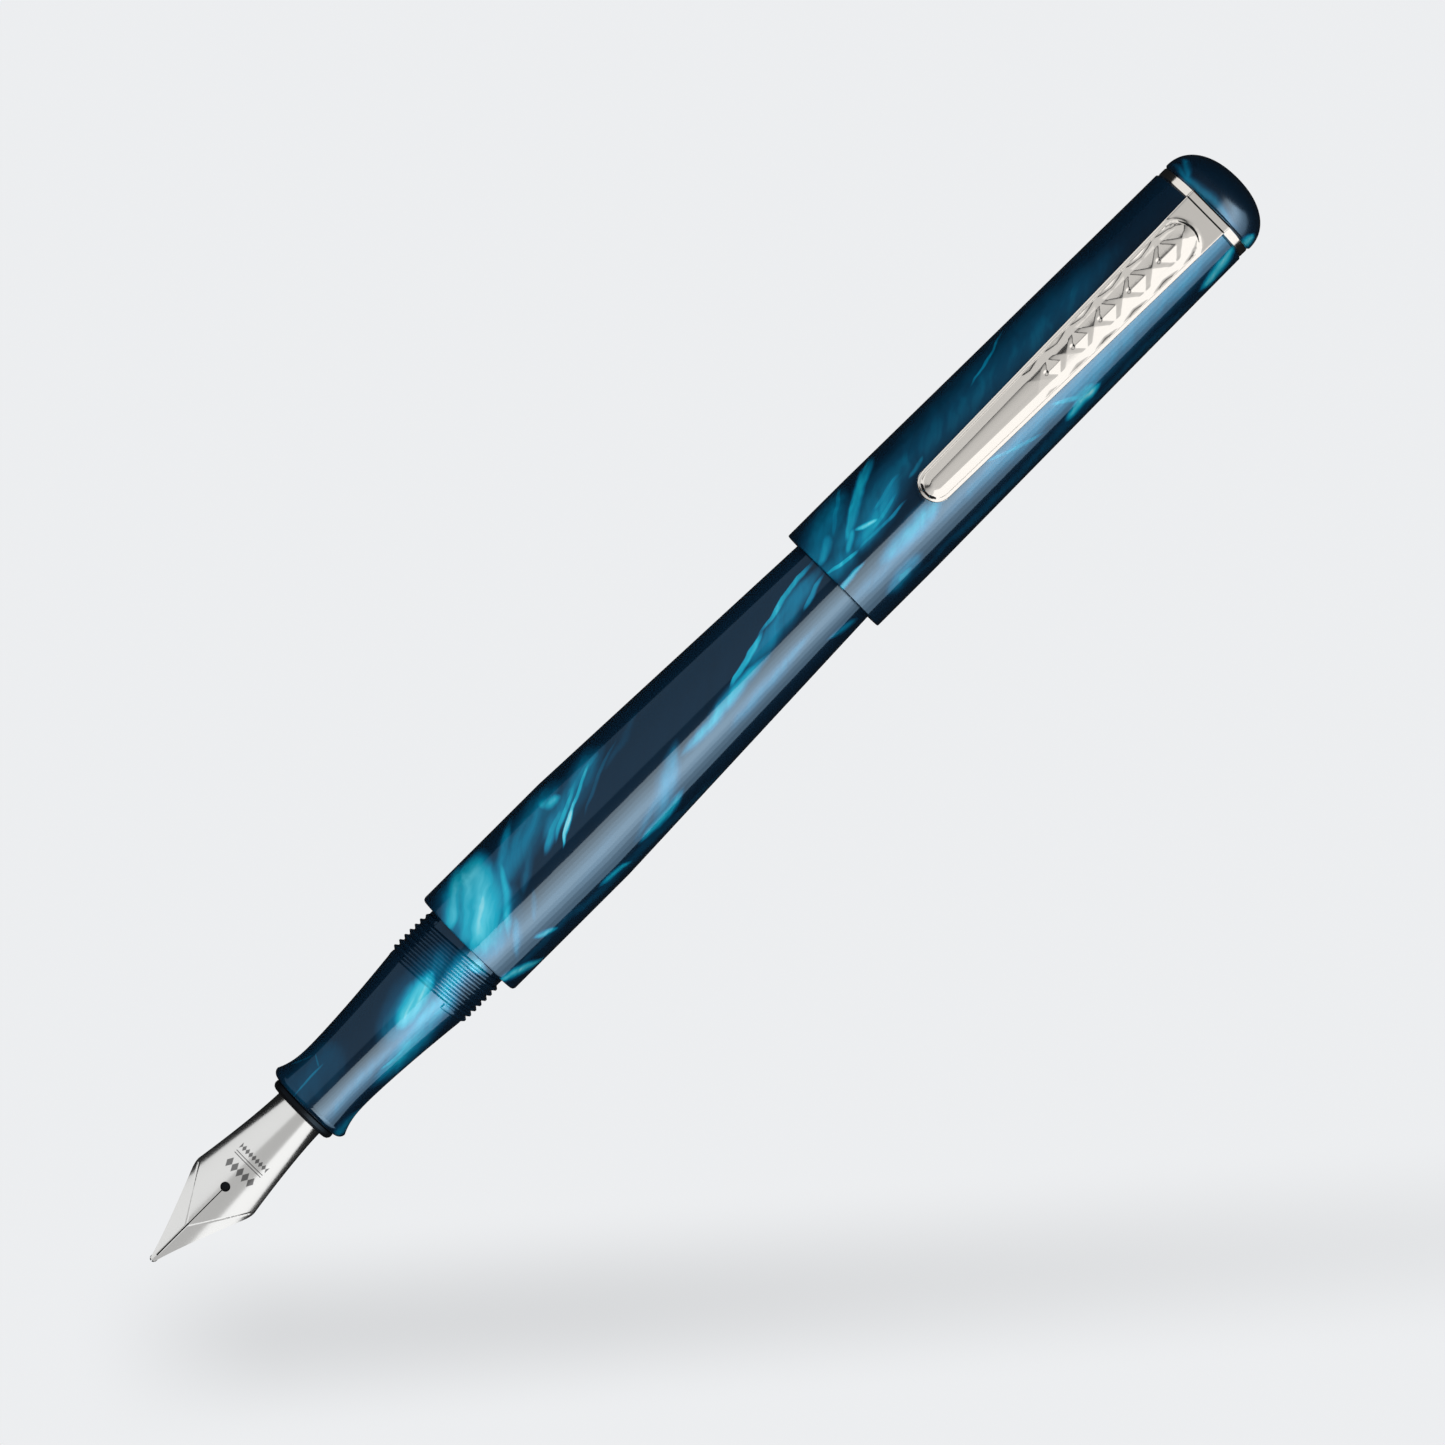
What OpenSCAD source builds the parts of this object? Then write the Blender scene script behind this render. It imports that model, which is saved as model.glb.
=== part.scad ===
// Fountain pen with its cap posted on the barrel.
// The pen's axis is X: nib towards -X, cap towards +X, nib face and clip towards +Z.
// X = 0 is where the barrel's straight land starts, just behind its front chamfer.

/* [Barrel] */
// Diameter of the barrel's straight land
barrel_d = 14.7; // [13.8:0.1:15.6]
// Length of the straight land
land_len = 18.4; // [14:0.1:22]
// Length of the whole barrel behind X = 0
barrel_len = 76.9; // [76:0.1:80]
// Radius lost per millimetre along the tapered tail
tail_slope = 0.04; // [0.036:0.001:0.041]
// Chamfer around the barrel's front edge
face_chamfer = 0.35; // [0.1:0.05:0.6]

/* [Grip section] */
// Length from the lip to the barrel's face
section_len = 26.3; // [24:0.1:28]
// Diameter of the lip
lip_d = 10.92; // [10.5:0.02:11.2]
// Diameter of the waist
waist_d = 9.3; // [9.1:0.05:9.8]
// Diameter where the cap thread begins
neck_d = 11.24; // [11:0.02:11.4]
// Crest diameter of the cap thread
cap_thread_d = 12; // [11.8:0.1:12.2]
// Pitch of the cap thread
cap_thread_pitch = 0.84; // [0.8:0.02:0.9]
// Turns of the cap thread on the section
cap_thread_turns = 7; // [5:1:7]

/* [Nib and feed] */
// Length of nib in front of the flange
nib_len = 24.1; // [22:0.1:25]
// Width at the shoulders
nib_w = 8.75; // [8:0.05:9]
// Thickness of the nib sheet
nib_t = 0.4; // [0.3:0.05:0.5]
// Diameter of the breather hole
breather_d = 1.15; // [0.9:0.05:1.3]
// Distance from the tip back to the shoulders and the breather hole
shoulder_back = 11.9; // [11:0.1:12.5]
// Diameter of the housing's flange
flange_d = 8.9; // [8.4:0.1:9]
// Thickness of the housing's flange
flange_t = 1; // [0.8:0.1:1.5]

/* [Converter] */
// Outer radius of the clear ink tube
tube_r = 3.5; // [3.4:0.05:3.6]
// Inner radius of the clear ink tube
ink_r = 2.85; // [2.7:0.05:2.9]
// How far the piston travels
stroke = 20; // [10:1:20]
// Width across the piston rod's two flats
rod_flats = 2.5; // [2.3:0.1:2.6]

/* [Cap] */
// Length of the cap tube from its lip to the clip ring
cap_len = 59.45; // [58:0.05:62]
// How far the barrel's tail reaches into the posted cap
posted_depth = 18; // [17:0.1:19]
// Outer diameter at the lip
cap_lip_d = 14.6; // [14.4:0.1:15]
// Outer diameter at the clip ring
cap_top_d = 13.57; // [13.4:0.05:13.8]
// Diameter of the clip ring
ring_d = 13.24; // [13:0.02:13.3]
// Thickness of the clip ring
ring_t = 1.2; // [0.9:0.05:1.3]
// Height of the domed finial
dome_h = 5; // [4.8:0.1:5.6]
// Diameter of the finial at its base
dome_d = 13.5; // [13.2:0.1:13.6]

/* [Clip] */
// Length of the clip from its root to its round tip
clip_len = 46.8; // [44:0.1:48]
// Width at the root
clip_root_w = 6.05; // [5.4:0.05:6.2]
// Width at the tip
clip_tip_w = 4.25; // [4:0.05:4.8]
// How far the clip is turned round the cap
clip_turn = 3.2; // [0:0.1:5]
// Number of pyramids on the panel
studs = 5; // [3:1:5]

/* [Hidden] */

$fn = 96;
fit = 0.04; // radial clearance of parts that slide or turn in each other
seat = 0.02; // gap between faces that are screwed together
chamfer = 0.25;
big = 40;

// Grip section and barrel
face_x = -face_chamfer;
lip_x = face_x - section_len;
neck_x = face_x - cap_thread_pitch * (cap_thread_turns + 1) - 0.4;
thread_root_r = neck_d / 2 + 0.03;
waist_x = lip_x + 5.4;
lip_round = 0.85; // length of the lip's rounding
lip_drop = 0.95; // how much smaller the lip's flat face is, in radius
tenon_r = 4.95;
tenon_len = 9.4;
tenon_pitch = 0.8;
housing_r = 3.7;
converter_bore_r = 3.8;
cavity_r = 4.6;
cavity_end_r = 4;
cavity_step_x = 60;
cavity_end_x = barrel_len - 3.6;

// Nib, feed and housing
flange_x = lip_x - flange_t;
tip_x = flange_x - nib_len;
shoulder_x = tip_x + shoulder_back;
nib_base_r = 3.2;
nib_base_x = flange_x + 8;
nib_base_w = 6.2;
nib_tip_r = 8;
nib_drop = 5.9;
nib_axis = atan2(nib_len, -nib_drop);
nib_cone_h = norm([nib_len, nib_drop]);
slit_w = 0.1;
nipple_r = 2.05;
nipple_x = lip_x + 14.6;
nipple_end_x = -3;
feed_tip_x = tip_x + 5.6;
feed_tail_r = 1.9;
ink_rod_r = 1.1;
fin_pitch = 0.75;
fin_gap = 0.3;
fins = 12;

// Converter
mouth_x = -9.5;
mouth_end_x = nipple_end_x + 0.2;
tube_end_x = 34;
sleeve_r = 3.75;
sleeve_x = 29;
sleeve_end_x = 45;
knob_x = sleeve_end_x + 0.15;
knob_end_x = 60.5;
knob_r = 3.4;
knob_wall_x = knob_end_x - 1.2;
spindle_r = 0.95;
spindle_x = 30;
rod_r = 1.5;
rod_x = 4;
rod_end_x = 38;
rod_bore_x = 9;
seal_len = 4;

// Cap
cap_x = barrel_len - posted_depth;
cap_end_x = cap_x + cap_len;
cap_straight = 9;
cap_thread_x = cap_x + 1.3;
cap_bore_r = 5.95;
cap_thread_crest_r = barrel_r(cap_thread_x) + 0.05;
cap_wall_x = cap_end_x - 2.6;
liner_x = cap_x + 29;
liner_r = 5.88;
liner_bore_r = 5.3;
screw_r = 2.5;
screw_bore_r = 2.6;
screw_head_r = 4;
ring_end_x = cap_end_x + ring_t;

// Clip, in its own frame before clip_turn
clip_x = ring_end_x - clip_len;
clip_plate_t = 0.8;
clip_panel_t = 0.6;
clip_rim = 0.42;
clip_root_z = 7.5;
clip_tip_z = 7.8;
clip_foot_z = 7.4;
clip_gap = 0.1;
panel_x = clip_x + 1.2;
panel_end_x = ring_end_x - 2.85;
stud_first_x = clip_x + 21.1;
stud_first_d = 2.3;
stud_grow = 0.175;
stud_step = 4.6;
stud_h = 0.4;

function barrel_r(x) = barrel_d / 2 - max(0, x - land_len) * tail_slope;

function cap_r(x) =
    let (t = max(0, x - cap_x - cap_straight) / (cap_len - cap_straight))
    cap_top_d / 2 + (cap_lip_d - cap_top_d) / 2 * pow(1 - min(1, t), 1.2);

function section_r(x) = x < waist_x
    ? waist_d / 2 + (lip_d - waist_d) / 2 * pow((waist_x - x) / (waist_x - lip_x - lip_round), 2.77)
    : waist_d / 2 + (neck_d - waist_d) / 2 * pow((x - waist_x) / (neck_x - waist_x), 1.5);

function nib_half_w(x) = let (s = (flange_x - x) / (flange_x - shoulder_x))
    nib_base_w / 2 + (nib_w - nib_base_w) / 2 * pow(max(0, s), 1.4);

// Points [r, x] of a screw thread drawn as rings, from start to start + turns * pitch
function rings(start, turns, pitch, root, crest) = [for (i = [0 : turns - 1])
    each [[root, start + i * pitch], [crest, start + (i + 0.4) * pitch],
        [crest, start + (i + 0.55) * pitch], [root, start + (i + 0.95) * pitch]]];

function back(points) = [for (i = [len(points) - 1 : -1 : 0]) points[i]];

function arc(x, y, r, from, to, steps) = [for (i = [0 : steps])
    let (a = from + (to - from) * i / steps) [x + r * cos(a), y + r * sin(a)]];

// Turns an outline of points [r, x] round the pen's axis
module turned(points) {
    rotate([0, 90, 0]) rotate_extrude() polygon(points);
}

module rod(x0, x1, r) {
    translate([x0, 0, 0]) rotate([0, 90, 0]) cylinder(h = x1 - x0, r = r);
}

// ---- nib unit ----

// Cone that the nib's front is bent to, thinned by inset
module nib_cone(inset) {
    translate([flange_x, 0, 0])
        rotate([0, -nib_axis, 0])
            translate([0, 0, -1])
                cylinder(h = nib_cone_h + 3,
                    r1 = nib_base_r - (nib_tip_r - nib_base_r) / nib_cone_h - inset,
                    r2 = nib_tip_r + 2 * (nib_tip_r - nib_base_r) / nib_cone_h - inset);
}

module nib_outline() {
    flare = [for (i = [0 : 8]) let (x = flange_x + (shoulder_x - flange_x) * i / 8) [x, nib_half_w(x)]];
    side = concat(flare, [
        [shoulder_x - 0.5, nib_w / 2 - 0.03],
        [shoulder_x - 1.4, nib_w / 2 - 0.3],
        [tip_x + 3.4, 1.02],
        [tip_x + 1.8, 0.55],
        [tip_x + 0.3, 0.32]]);
    polygon(concat(side, [for (p = back(side)) [p[0], -p[1]]]));
}

module nib() {
    color("gainsboro") difference() {
        union() {
            intersection() {
                difference() {
                    nib_cone(0);
                    nib_cone(nib_t);
                }
                linear_extrude(nib_base_r + 1) nib_outline();
            }
            intersection() {
                difference() {
                    rod(flange_x - 0.05, nib_base_x, nib_base_r);
                    rod(flange_x - 1, nib_base_x + 1, nib_base_r - nib_t);
                }
                translate([flange_x - 1, -nib_base_w / 2, 0.9]) cube([10, nib_base_w, 4]);
            }
        }
        translate([shoulder_x, 0, 0]) cylinder(h = 5, d = breather_d);
        translate([tip_x - 1, -slit_w / 2, 0]) cube([shoulder_back + 1, slit_w, 5]);
    }
}

module nib_tipping() {
    color("silver") difference() {
        translate([tip_x + 0.55, 0, 1.75]) sphere(r = 0.5);
        translate([tip_x - 1, -slit_w / 2, 0]) cube([3, slit_w, 5]);
    }
}

module feed_body() {
    side = [[feed_tip_x, 1.9], [feed_tip_x, 1.45], [feed_tip_x + 5, -1.6], [feed_tip_x + 8, -2.9],
        [feed_tip_x + 10, -3.2], [nipple_x, -3.2], [nipple_x, 4], [feed_tip_x, 4]];
    plan = [[feed_tip_x, 0.35], [feed_tip_x + 6, 2.6], [feed_tip_x + 9, 3.1], [nib_base_x + 0.2, 3.1]];
    intersection() {
        union() {
            intersection() {
                rod(feed_tip_x, nib_base_x + 0.2, nib_base_r - 0.05);
                translate([feed_tip_x - 1, -5, -5]) cube([big, 10, 5.6]);
            }
            intersection() {
                nib_cone(nib_t + 0.05);
                rod(feed_tip_x, flange_x, nib_base_r - nib_t - 0.05);
            }
            rod(flange_x - 0.1, nib_base_x + 0.2, nib_base_r - nib_t - 0.05);
        }
        translate([0, 5, 0]) rotate([90, 0, 0]) linear_extrude(10) polygon(side);
        translate([0, 0, -5]) linear_extrude(10)
            polygon(concat(plan, [for (p = back(plan)) [p[0], -p[1]]]));
    }
}

module feed() {
    color("black") union() {
        difference() {
            feed_body();
            for (i = [0 : fins - 1])
                translate([flange_x - 1.2 - i * fin_pitch, 0, 0])
                    intersection() {
                        turned([[2, -fin_gap], [4, -fin_gap], [4, 0], [2, 0]]);
                        translate([-1, -5, -5]) cube([2, 10, 5.3]);
                    }
        }
        rod(nib_base_x, nipple_x - 0.8, feed_tail_r);
        rod(nipple_x - 1, nipple_end_x - 0.8, ink_rod_r);
    }
}

module nib_housing() {
    outer = concat(
        [[flange_d / 2 - 0.4, flange_x], [flange_d / 2, flange_x + 0.4], [flange_d / 2, lip_x - 0.15],
            [flange_d / 2 - 0.15, lip_x - seat], [housing_r - 0.3, lip_x - seat]],
        rings(lip_x + 0.6, 20, 0.6, housing_r - 0.25, housing_r),
        [[housing_r - 0.3, nipple_x - 1], [nipple_r, nipple_x], [nipple_r, nipple_end_x - 0.4],
            [nipple_r - 0.3, nipple_end_x]]);
    inner = [[ink_rod_r + 0.1, nipple_end_x], [ink_rod_r + 0.1, nipple_x - 0.7],
        [feed_tail_r + fit, nipple_x - 0.7], [feed_tail_r + fit, nib_base_x + 0.3],
        [nib_base_r + fit, nib_base_x + 0.3], [nib_base_r + fit, flange_x]];
    color("dimgray") turned(concat(outer, inner));
}

// ---- grip section and barrel ----

module grip_section() {
    lip = [for (i = [0 : 7]) let (a = 90 * i / 8)
        [lip_d / 2 - lip_drop * (1 - sin(a)), lip_x + lip_round * (1 - cos(a))]];
    grip = [for (i = [0 : 24]) let (x = lip_x + lip_round + (neck_x - lip_x - lip_round) * i / 24)
        [section_r(x), x]];
    outer = concat(
        lip,
        grip,
        rings(neck_x + 0.1, cap_thread_turns, cap_thread_pitch, thread_root_r, cap_thread_d / 2),
        [[thread_root_r, face_x - seat], [tenon_r - 0.3, face_x - seat], [tenon_r - 0.3, face_x + 1]],
        rings(face_x + 1, 9, tenon_pitch, tenon_r - 0.25, tenon_r),
        [[tenon_r - 0.3, face_x + 8.4], [tenon_r - 0.3, face_x + tenon_len]]);
    inner = [[converter_bore_r, face_x + tenon_len], [converter_bore_r, nipple_x - 0.3],
        [housing_r + fit, nipple_x - 0.3], [housing_r + fit, lip_x]];
    color("teal") turned(concat(outer, inner));
}

module barrel() {
    end_r = barrel_r(barrel_len);
    socket = rings(face_x + 1.2, 9, tenon_pitch, tenon_r + 0.3, tenon_r + 0.05);
    outer = [[barrel_d / 2 - face_chamfer, face_x], [barrel_d / 2, 0], [barrel_d / 2, land_len],
        [end_r + 0.04, barrel_len - 1], [end_r - 0.25, barrel_len - 0.3], [end_r - 0.8, barrel_len],
        [0, barrel_len]];
    cavity = concat(
        [[0, cavity_end_x], [cavity_end_r, cavity_end_x], [cavity_end_r, cavity_step_x + 1],
            [cavity_r, cavity_step_x], [cavity_r, face_x + tenon_len + 0.3],
            [tenon_r + 0.3, face_x + tenon_len + 0.3]],
        back(socket),
        [[tenon_r + 0.05, face_x + 1], [tenon_r + 0.05, face_x]]);
    color("darkcyan") turned(concat(outer, cavity));
}

// ---- converter ----

module converter_tube() {
    color("lightblue") turned([
        [nipple_r + fit, mouth_x], [3.1, mouth_x], [3.2, mouth_x + 0.5], [3.2, mouth_end_x - 0.5],
        [tube_r, mouth_end_x], [tube_r, sleeve_x - seat], [tube_r - 0.15, sleeve_x - seat],
        [tube_r - 0.15, tube_end_x], [ink_r, tube_end_x], [ink_r, mouth_end_x + 1.2],
        [1.3, mouth_end_x + 0.5], [1.3, mouth_end_x], [nipple_r + fit, mouth_end_x]]);
}

// Rod with two flats, as the piston rod and the hole that keys it
module flatted(x0, x1, r, flats) {
    intersection() {
        rod(x0, x1, r);
        translate([x0, -flats / 2, -r]) cube([x1 - x0, flats, 2 * r]);
    }
}

module converter_collar() {
    color("black") difference() {
        union() {
            rod(tube_end_x - 3, tube_end_x, ink_r - seat);
            rod(tube_end_x + seat, sleeve_end_x, tube_r - 0.17);
            rod(tube_end_x - 0.5, tube_end_x + 0.5, ink_r - seat);
        }
        flatted(tube_end_x - 4, sleeve_end_x - 4, rod_r + fit, rod_flats + 2 * fit);
        rod(sleeve_end_x - 4.1, sleeve_end_x + 1, 1.9);
    }
}

module converter_sleeve() {
    color("silver") turned([
        [tube_r - 0.13, sleeve_x], [sleeve_r - 0.1, sleeve_x], [sleeve_r, sleeve_x + 0.1],
        [sleeve_r, sleeve_end_x - 0.1], [sleeve_r - 0.1, sleeve_end_x], [tube_r - 0.13, sleeve_end_x]]);
}

module converter_knob() {
    color("black") difference() {
        turned([[1.85, knob_x], [knob_r - 0.2, knob_x], [knob_r, knob_x + 0.2],
            [knob_r, knob_end_x - 0.5], [knob_r - 0.5, knob_end_x], [spindle_r + seat, knob_end_x],
            [spindle_r + seat, knob_wall_x], [1.85, knob_wall_x]]);
        for (i = [0 : 23])
            rotate([i * 15, 0, 0]) translate([knob_x + 2, -0.15, knob_r - 0.2])
                cube([11, 0.3, 1]);
    }
}

module converter_spindle() {
    color("gray") turned(concat([[0, spindle_x], [spindle_r - 0.25, spindle_x]],
        rings(spindle_x + 0.4, 12, 2, spindle_r - 0.2, spindle_r),
        [[spindle_r, spindle_x + 25], [spindle_r, knob_end_x - 0.1], [0, knob_end_x - 0.1]]));
}

module piston_rod() {
    color("white") difference() {
        union() {
            flatted(rod_x, rod_end_x, rod_r, rod_flats);
            rod(0.6, rod_x + 0.1, 0.95);
        }
        rod(rod_bore_x, rod_end_x + 1, spindle_r + fit);
    }
}

module piston_seal() {
    lip = ink_r - 0.03;
    color("dimgray") turned([
        [0.97, 0.1], [lip - 0.5, 0.1], [lip, 0.5], [lip, 1.1], [lip - 0.45, 1.5], [lip - 0.45, 2.5],
        [lip, 2.9], [lip, 3.5], [lip - 0.4, seal_len - seat], [0.97, seal_len - seat]]);
}

// ---- cap ----

module cap_tube() {
    shell = [for (i = [0 : 16]) let (x = cap_x + cap_straight + (cap_len - cap_straight) * i / 16)
        [cap_r(x), min(x, cap_end_x - chamfer)]];
    thread = rings(cap_thread_x, 7, cap_thread_pitch, cap_bore_r + 0.1, cap_thread_crest_r);
    color("teal") turned(concat(
        [[cap_lip_d / 2 - 0.15, cap_x], [cap_lip_d / 2, cap_x + 0.15]],
        shell,
        [[cap_top_d / 2 - chamfer, cap_end_x], [screw_bore_r, cap_end_x], [screw_bore_r, cap_wall_x],
            [cap_bore_r, cap_wall_x], [cap_bore_r, cap_thread_x + 6.5]],
        back(thread),
        [[cap_bore_r + 0.1, cap_x]]));
}

module inner_cap() {
    color("dimgray") turned([
        [liner_bore_r + 0.3, liner_x], [liner_r - 0.1, liner_x], [liner_r, liner_x + 0.6],
        [liner_r, cap_wall_x - seat], [screw_bore_r, cap_wall_x - seat], [screw_bore_r, cap_wall_x - 0.9],
        [liner_bore_r, cap_wall_x - 0.9], [liner_bore_r, liner_x + 0.6]]);
}

module clip_ring() {
    color("silver") difference() {
        union() {
            rod(cap_end_x + seat, ring_end_x, ring_d / 2);
            rotate([clip_turn, 0, 0]) translate([cap_end_x + seat, -clip_root_w / 2, 5.5])
                cube([ring_t - seat, clip_root_w, clip_foot_z - clip_gap - 5.5]);
        }
        rod(cap_end_x - 1, ring_end_x + 1, screw_bore_r);
    }
}

module finial() {
    dome = [for (i = [0 : 20]) let (a = 90 * i / 20)
        [dome_d / 2 * pow(cos(a), 0.9), ring_end_x + seat + chamfer + (dome_h - chamfer) * pow(sin(a), 0.9)]];
    color("darkcyan") difference() {
        turned(concat([[0, ring_end_x + seat], [dome_d / 2 - chamfer, ring_end_x + seat]], dome));
        rod(ring_end_x - 1, ring_end_x + 3, screw_r + seat);
    }
}

module finial_screw() {
    color("goldenrod") difference() {
        turned(concat(
            [[0, cap_wall_x - 2.5], [screw_head_r, cap_wall_x - 2.5], [screw_head_r, cap_wall_x - 0.92],
                [screw_r - 0.2, cap_wall_x - 0.92]],
            rings(cap_wall_x - 0.5, 8, 0.75, screw_r - 0.2, screw_r),
            [[screw_r - 0.2, ring_end_x + 2.8], [0, ring_end_x + 2.8]]));
        translate([cap_wall_x - 3, -big, -0.4]) cube([1.3, 2 * big, 0.8]);
    }
}

// ---- clip ----

// The clip's plan, drawn in by inset: straight tapering sides and a round tip
module clip_plan(x0, x1, inset, round_root) {
    root_r = clip_root_w / 2 - inset;
    tip_r = clip_tip_w / 2 - inset;
    root = round_root ? arc(x1 - root_r, 0, root_r, 80, -80, 16) : [[x1, root_r], [x1, -root_r]];
    polygon(concat(root, arc(x0 + tip_r, 0, tip_r, -92, -268, 20)));
}

// Block between the clip's underside, raised by lift, and a height above it
module clip_slab(lift, height) {
    root_z = clip_root_z + lift;
    tip_z = clip_tip_z + lift;
    translate([0, 5, 0]) rotate([90, 0, 0]) linear_extrude(10) polygon([
        [clip_x - 1, tip_z], [ring_end_x, root_z], [ring_end_x, root_z + height],
        [clip_x - 1, tip_z + height]]);
}

// One pyramid with its corners along and across the clip
module stud(d) {
    s = d / sqrt(2) / 2;
    roof = [[-s, 0], [s, 0], [0, stud_h]];
    rotate([0, 0, 45]) intersection() {
        translate([0, s, 0]) rotate([90, 0, 0]) linear_extrude(2 * s) polygon(roof);
        translate([-s, 0, 0]) rotate([90, 0, 90]) linear_extrude(2 * s) polygon(roof);
    }
}

module clip() {
    top = clip_plate_t + clip_panel_t;
    color("silver") rotate([clip_turn, 0, 0]) {
        intersection() {
            translate([0, 0, 5]) linear_extrude(6) clip_plan(clip_x, ring_end_x, 0, false);
            union() {
                clip_slab(0, clip_plate_t);
                translate([cap_end_x + seat, -5, clip_foot_z]) cube([ring_t - seat, 10, 0.5]);
            }
        }
        intersection() {
            translate([0, 0, 5]) linear_extrude(6) clip_plan(panel_x, panel_end_x, clip_rim, true);
            clip_slab(clip_plate_t - 0.1, clip_panel_t / 2 + 0.1);
        }
        intersection() {
            translate([0, 0, 5]) linear_extrude(6)
                clip_plan(panel_x + 0.4, panel_end_x - 0.4, clip_rim + 0.4, true);
            clip_slab(clip_plate_t, clip_panel_t);
        }
        for (i = [0 : studs - 1]) {
            x = stud_first_x + i * stud_step;
            translate([x, 0, clip_tip_z + (clip_root_z - clip_tip_z) * (x - clip_x) / clip_len + top - 0.05])
                stud(stud_first_d + i * stud_grow);
        }
        intersection() {
            translate([clip_x + 3.2, 0, clip_tip_z - 0.1]) rotate([90, 0, 0])
                cylinder(h = 2.4, r = 1.1, center = true);
            translate([clip_x, -5, cap_r(clip_x) + 0.06]) cube([8, 10, 1.2]);
        }
    }
}

nib();
nib_tipping();
feed();
nib_housing();
grip_section();
barrel();
converter_tube();
converter_collar();
converter_sleeve();
converter_knob();
converter_spindle();
piston_rod();
piston_seal();
cap_tube();
inner_cap();
clip_ring();
clip();
finial();
finial_screw();
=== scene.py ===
import math

import bmesh
import bpy
from mathutils import Matrix, Vector


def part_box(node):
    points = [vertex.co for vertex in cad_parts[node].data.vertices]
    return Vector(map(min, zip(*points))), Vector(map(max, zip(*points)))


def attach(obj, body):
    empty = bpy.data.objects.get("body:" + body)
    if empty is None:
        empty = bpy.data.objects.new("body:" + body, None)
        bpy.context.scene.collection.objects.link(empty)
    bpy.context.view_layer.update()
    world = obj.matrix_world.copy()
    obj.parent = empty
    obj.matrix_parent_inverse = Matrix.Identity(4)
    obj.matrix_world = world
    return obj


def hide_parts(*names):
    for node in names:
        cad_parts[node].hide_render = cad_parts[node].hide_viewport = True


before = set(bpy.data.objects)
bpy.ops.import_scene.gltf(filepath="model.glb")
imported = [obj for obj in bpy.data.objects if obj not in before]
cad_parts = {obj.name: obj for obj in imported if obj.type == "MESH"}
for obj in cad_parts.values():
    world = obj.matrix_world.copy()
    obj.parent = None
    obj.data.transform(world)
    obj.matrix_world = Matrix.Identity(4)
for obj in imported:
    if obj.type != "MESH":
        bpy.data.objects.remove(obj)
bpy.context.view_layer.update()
millimetre = 0.001
scene = bpy.context.scene
scene.view_settings.view_transform = "Standard"
scene.view_settings.look = "None"


def nodeBox(node):
    low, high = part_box(node)
    return low / millimetre, high / millimetre


# camera, light and floor

studio = {
    "aim": (38.43, -2.56, 0.0),      # what the middle of the view shows, in mm
    "cameraHeight": 1035.0,
    "viewTurn": -44.915,             # degrees the camera is turned about its own line of sight
    "sensor": 36.0,
    "viewWidth": 166.2,              # mm seen across, at the pen's axis
    "backdrop": (0.843, 0.855, 0.871),
    "floorDrop": 62.0,               # mm from the pen's axis down to the floor
    "floorSize": 9000.0,
    "lampDistance": 700.0,           # mm from the pen's axis to each lamp
    "lampReach": (-950, 950),        # mm each lamp covers along the pen
    "shadeAt": (8.0, -69.5),         # middle of the floor's soft shade, right and up in the view
    "shadeSize": (78.0, 13.0),
    "shadeTurn": 4.6,
    "shadeDepth": 0.18,
    "shadeStart": (-1.14, -0.78),    # where it begins and is full, in shade sizes
    "shadeTrail": (-0.3, 2.2),       # where it begins to fade and is gone
    "band": [(15, 22, 2.1), (22, 30, 2.6), (30, 38, 3.1), (38, 45, 3.5), (45, 58, 3.9), (58, 66, 3.1),
             (66, 76, 2.1), (76, 86, 1.3), (86, 98, 0.9)],          # the window's stripe on the resin
    "clipLights": [(-96, -40, 0.85), (-40, -16, 0.6), (-7, -3, 0.34), (-3, 1, 0.41), (1, 5, 0.48),
                   (5, 10, 0.55), (10, 24, 0.64), (24, 104, 1.08)],
}
resinPieces = bpy.data.collections.new("litLikeResin")
bodyPieces = bpy.data.collections.new("litLikeBody")
capPieces = bpy.data.collections.new("litLikeCap")
metalPieces = bpy.data.collections.new("litLikeMetal")
nibPieces = bpy.data.collections.new("litLikeNib")


def sideLamp(name, fromAngle, toAngle, radiance, tint, receivers, reach=studio["lampReach"],
             diffuse=True, glossy=True):
    # angles are degrees from straight above, positive towards -Y; reach is along the pen, in mm
    distance = studio["lampDistance"]
    length = reach[1] - reach[0]
    middle = math.radians((fromAngle + toAngle) / 2)
    half = math.radians(abs(toAngle - fromAngle) / 2)
    lamp = bpy.data.lights.new(name, "AREA")
    lamp.shape = "RECTANGLE"
    lamp.size = length * millimetre
    lamp.size_y = 2 * distance * math.tan(half) * millimetre
    lamp.energy = radiance * math.pi * lamp.size * lamp.size_y
    lamp.color = tint
    holder = bpy.data.objects.new(name, lamp)
    scene.collection.objects.link(holder)
    way = Vector((0, -math.sin(middle), math.cos(middle)))
    along = Vector(((reach[0] + reach[1]) / 2, 0, 0))
    holder.location = (Vector(studio["aim"]) + along + way * distance) * millimetre
    holder.rotation_euler = (middle, 0, 0)
    holder.visible_camera = False
    holder.visible_diffuse = diffuse
    holder.visible_glossy = glossy
    holder.light_linking.receiver_collection = receivers
    return holder


def placeCamera():
    data = bpy.data.cameras.new("penCamera")
    data.sensor_width = studio["sensor"]
    data.lens = studio["sensor"] * studio["cameraHeight"] / studio["viewWidth"]
    data.clip_end = 30
    cam = bpy.data.objects.new("penCamera", data)
    scene.collection.objects.link(cam)
    cam.location = (Vector(studio["aim"]) + Vector((0, 0, studio["cameraHeight"]))) * millimetre
    cam.rotation_euler = (0, 0, math.radians(studio["viewTurn"]))
    scene.camera = cam


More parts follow.
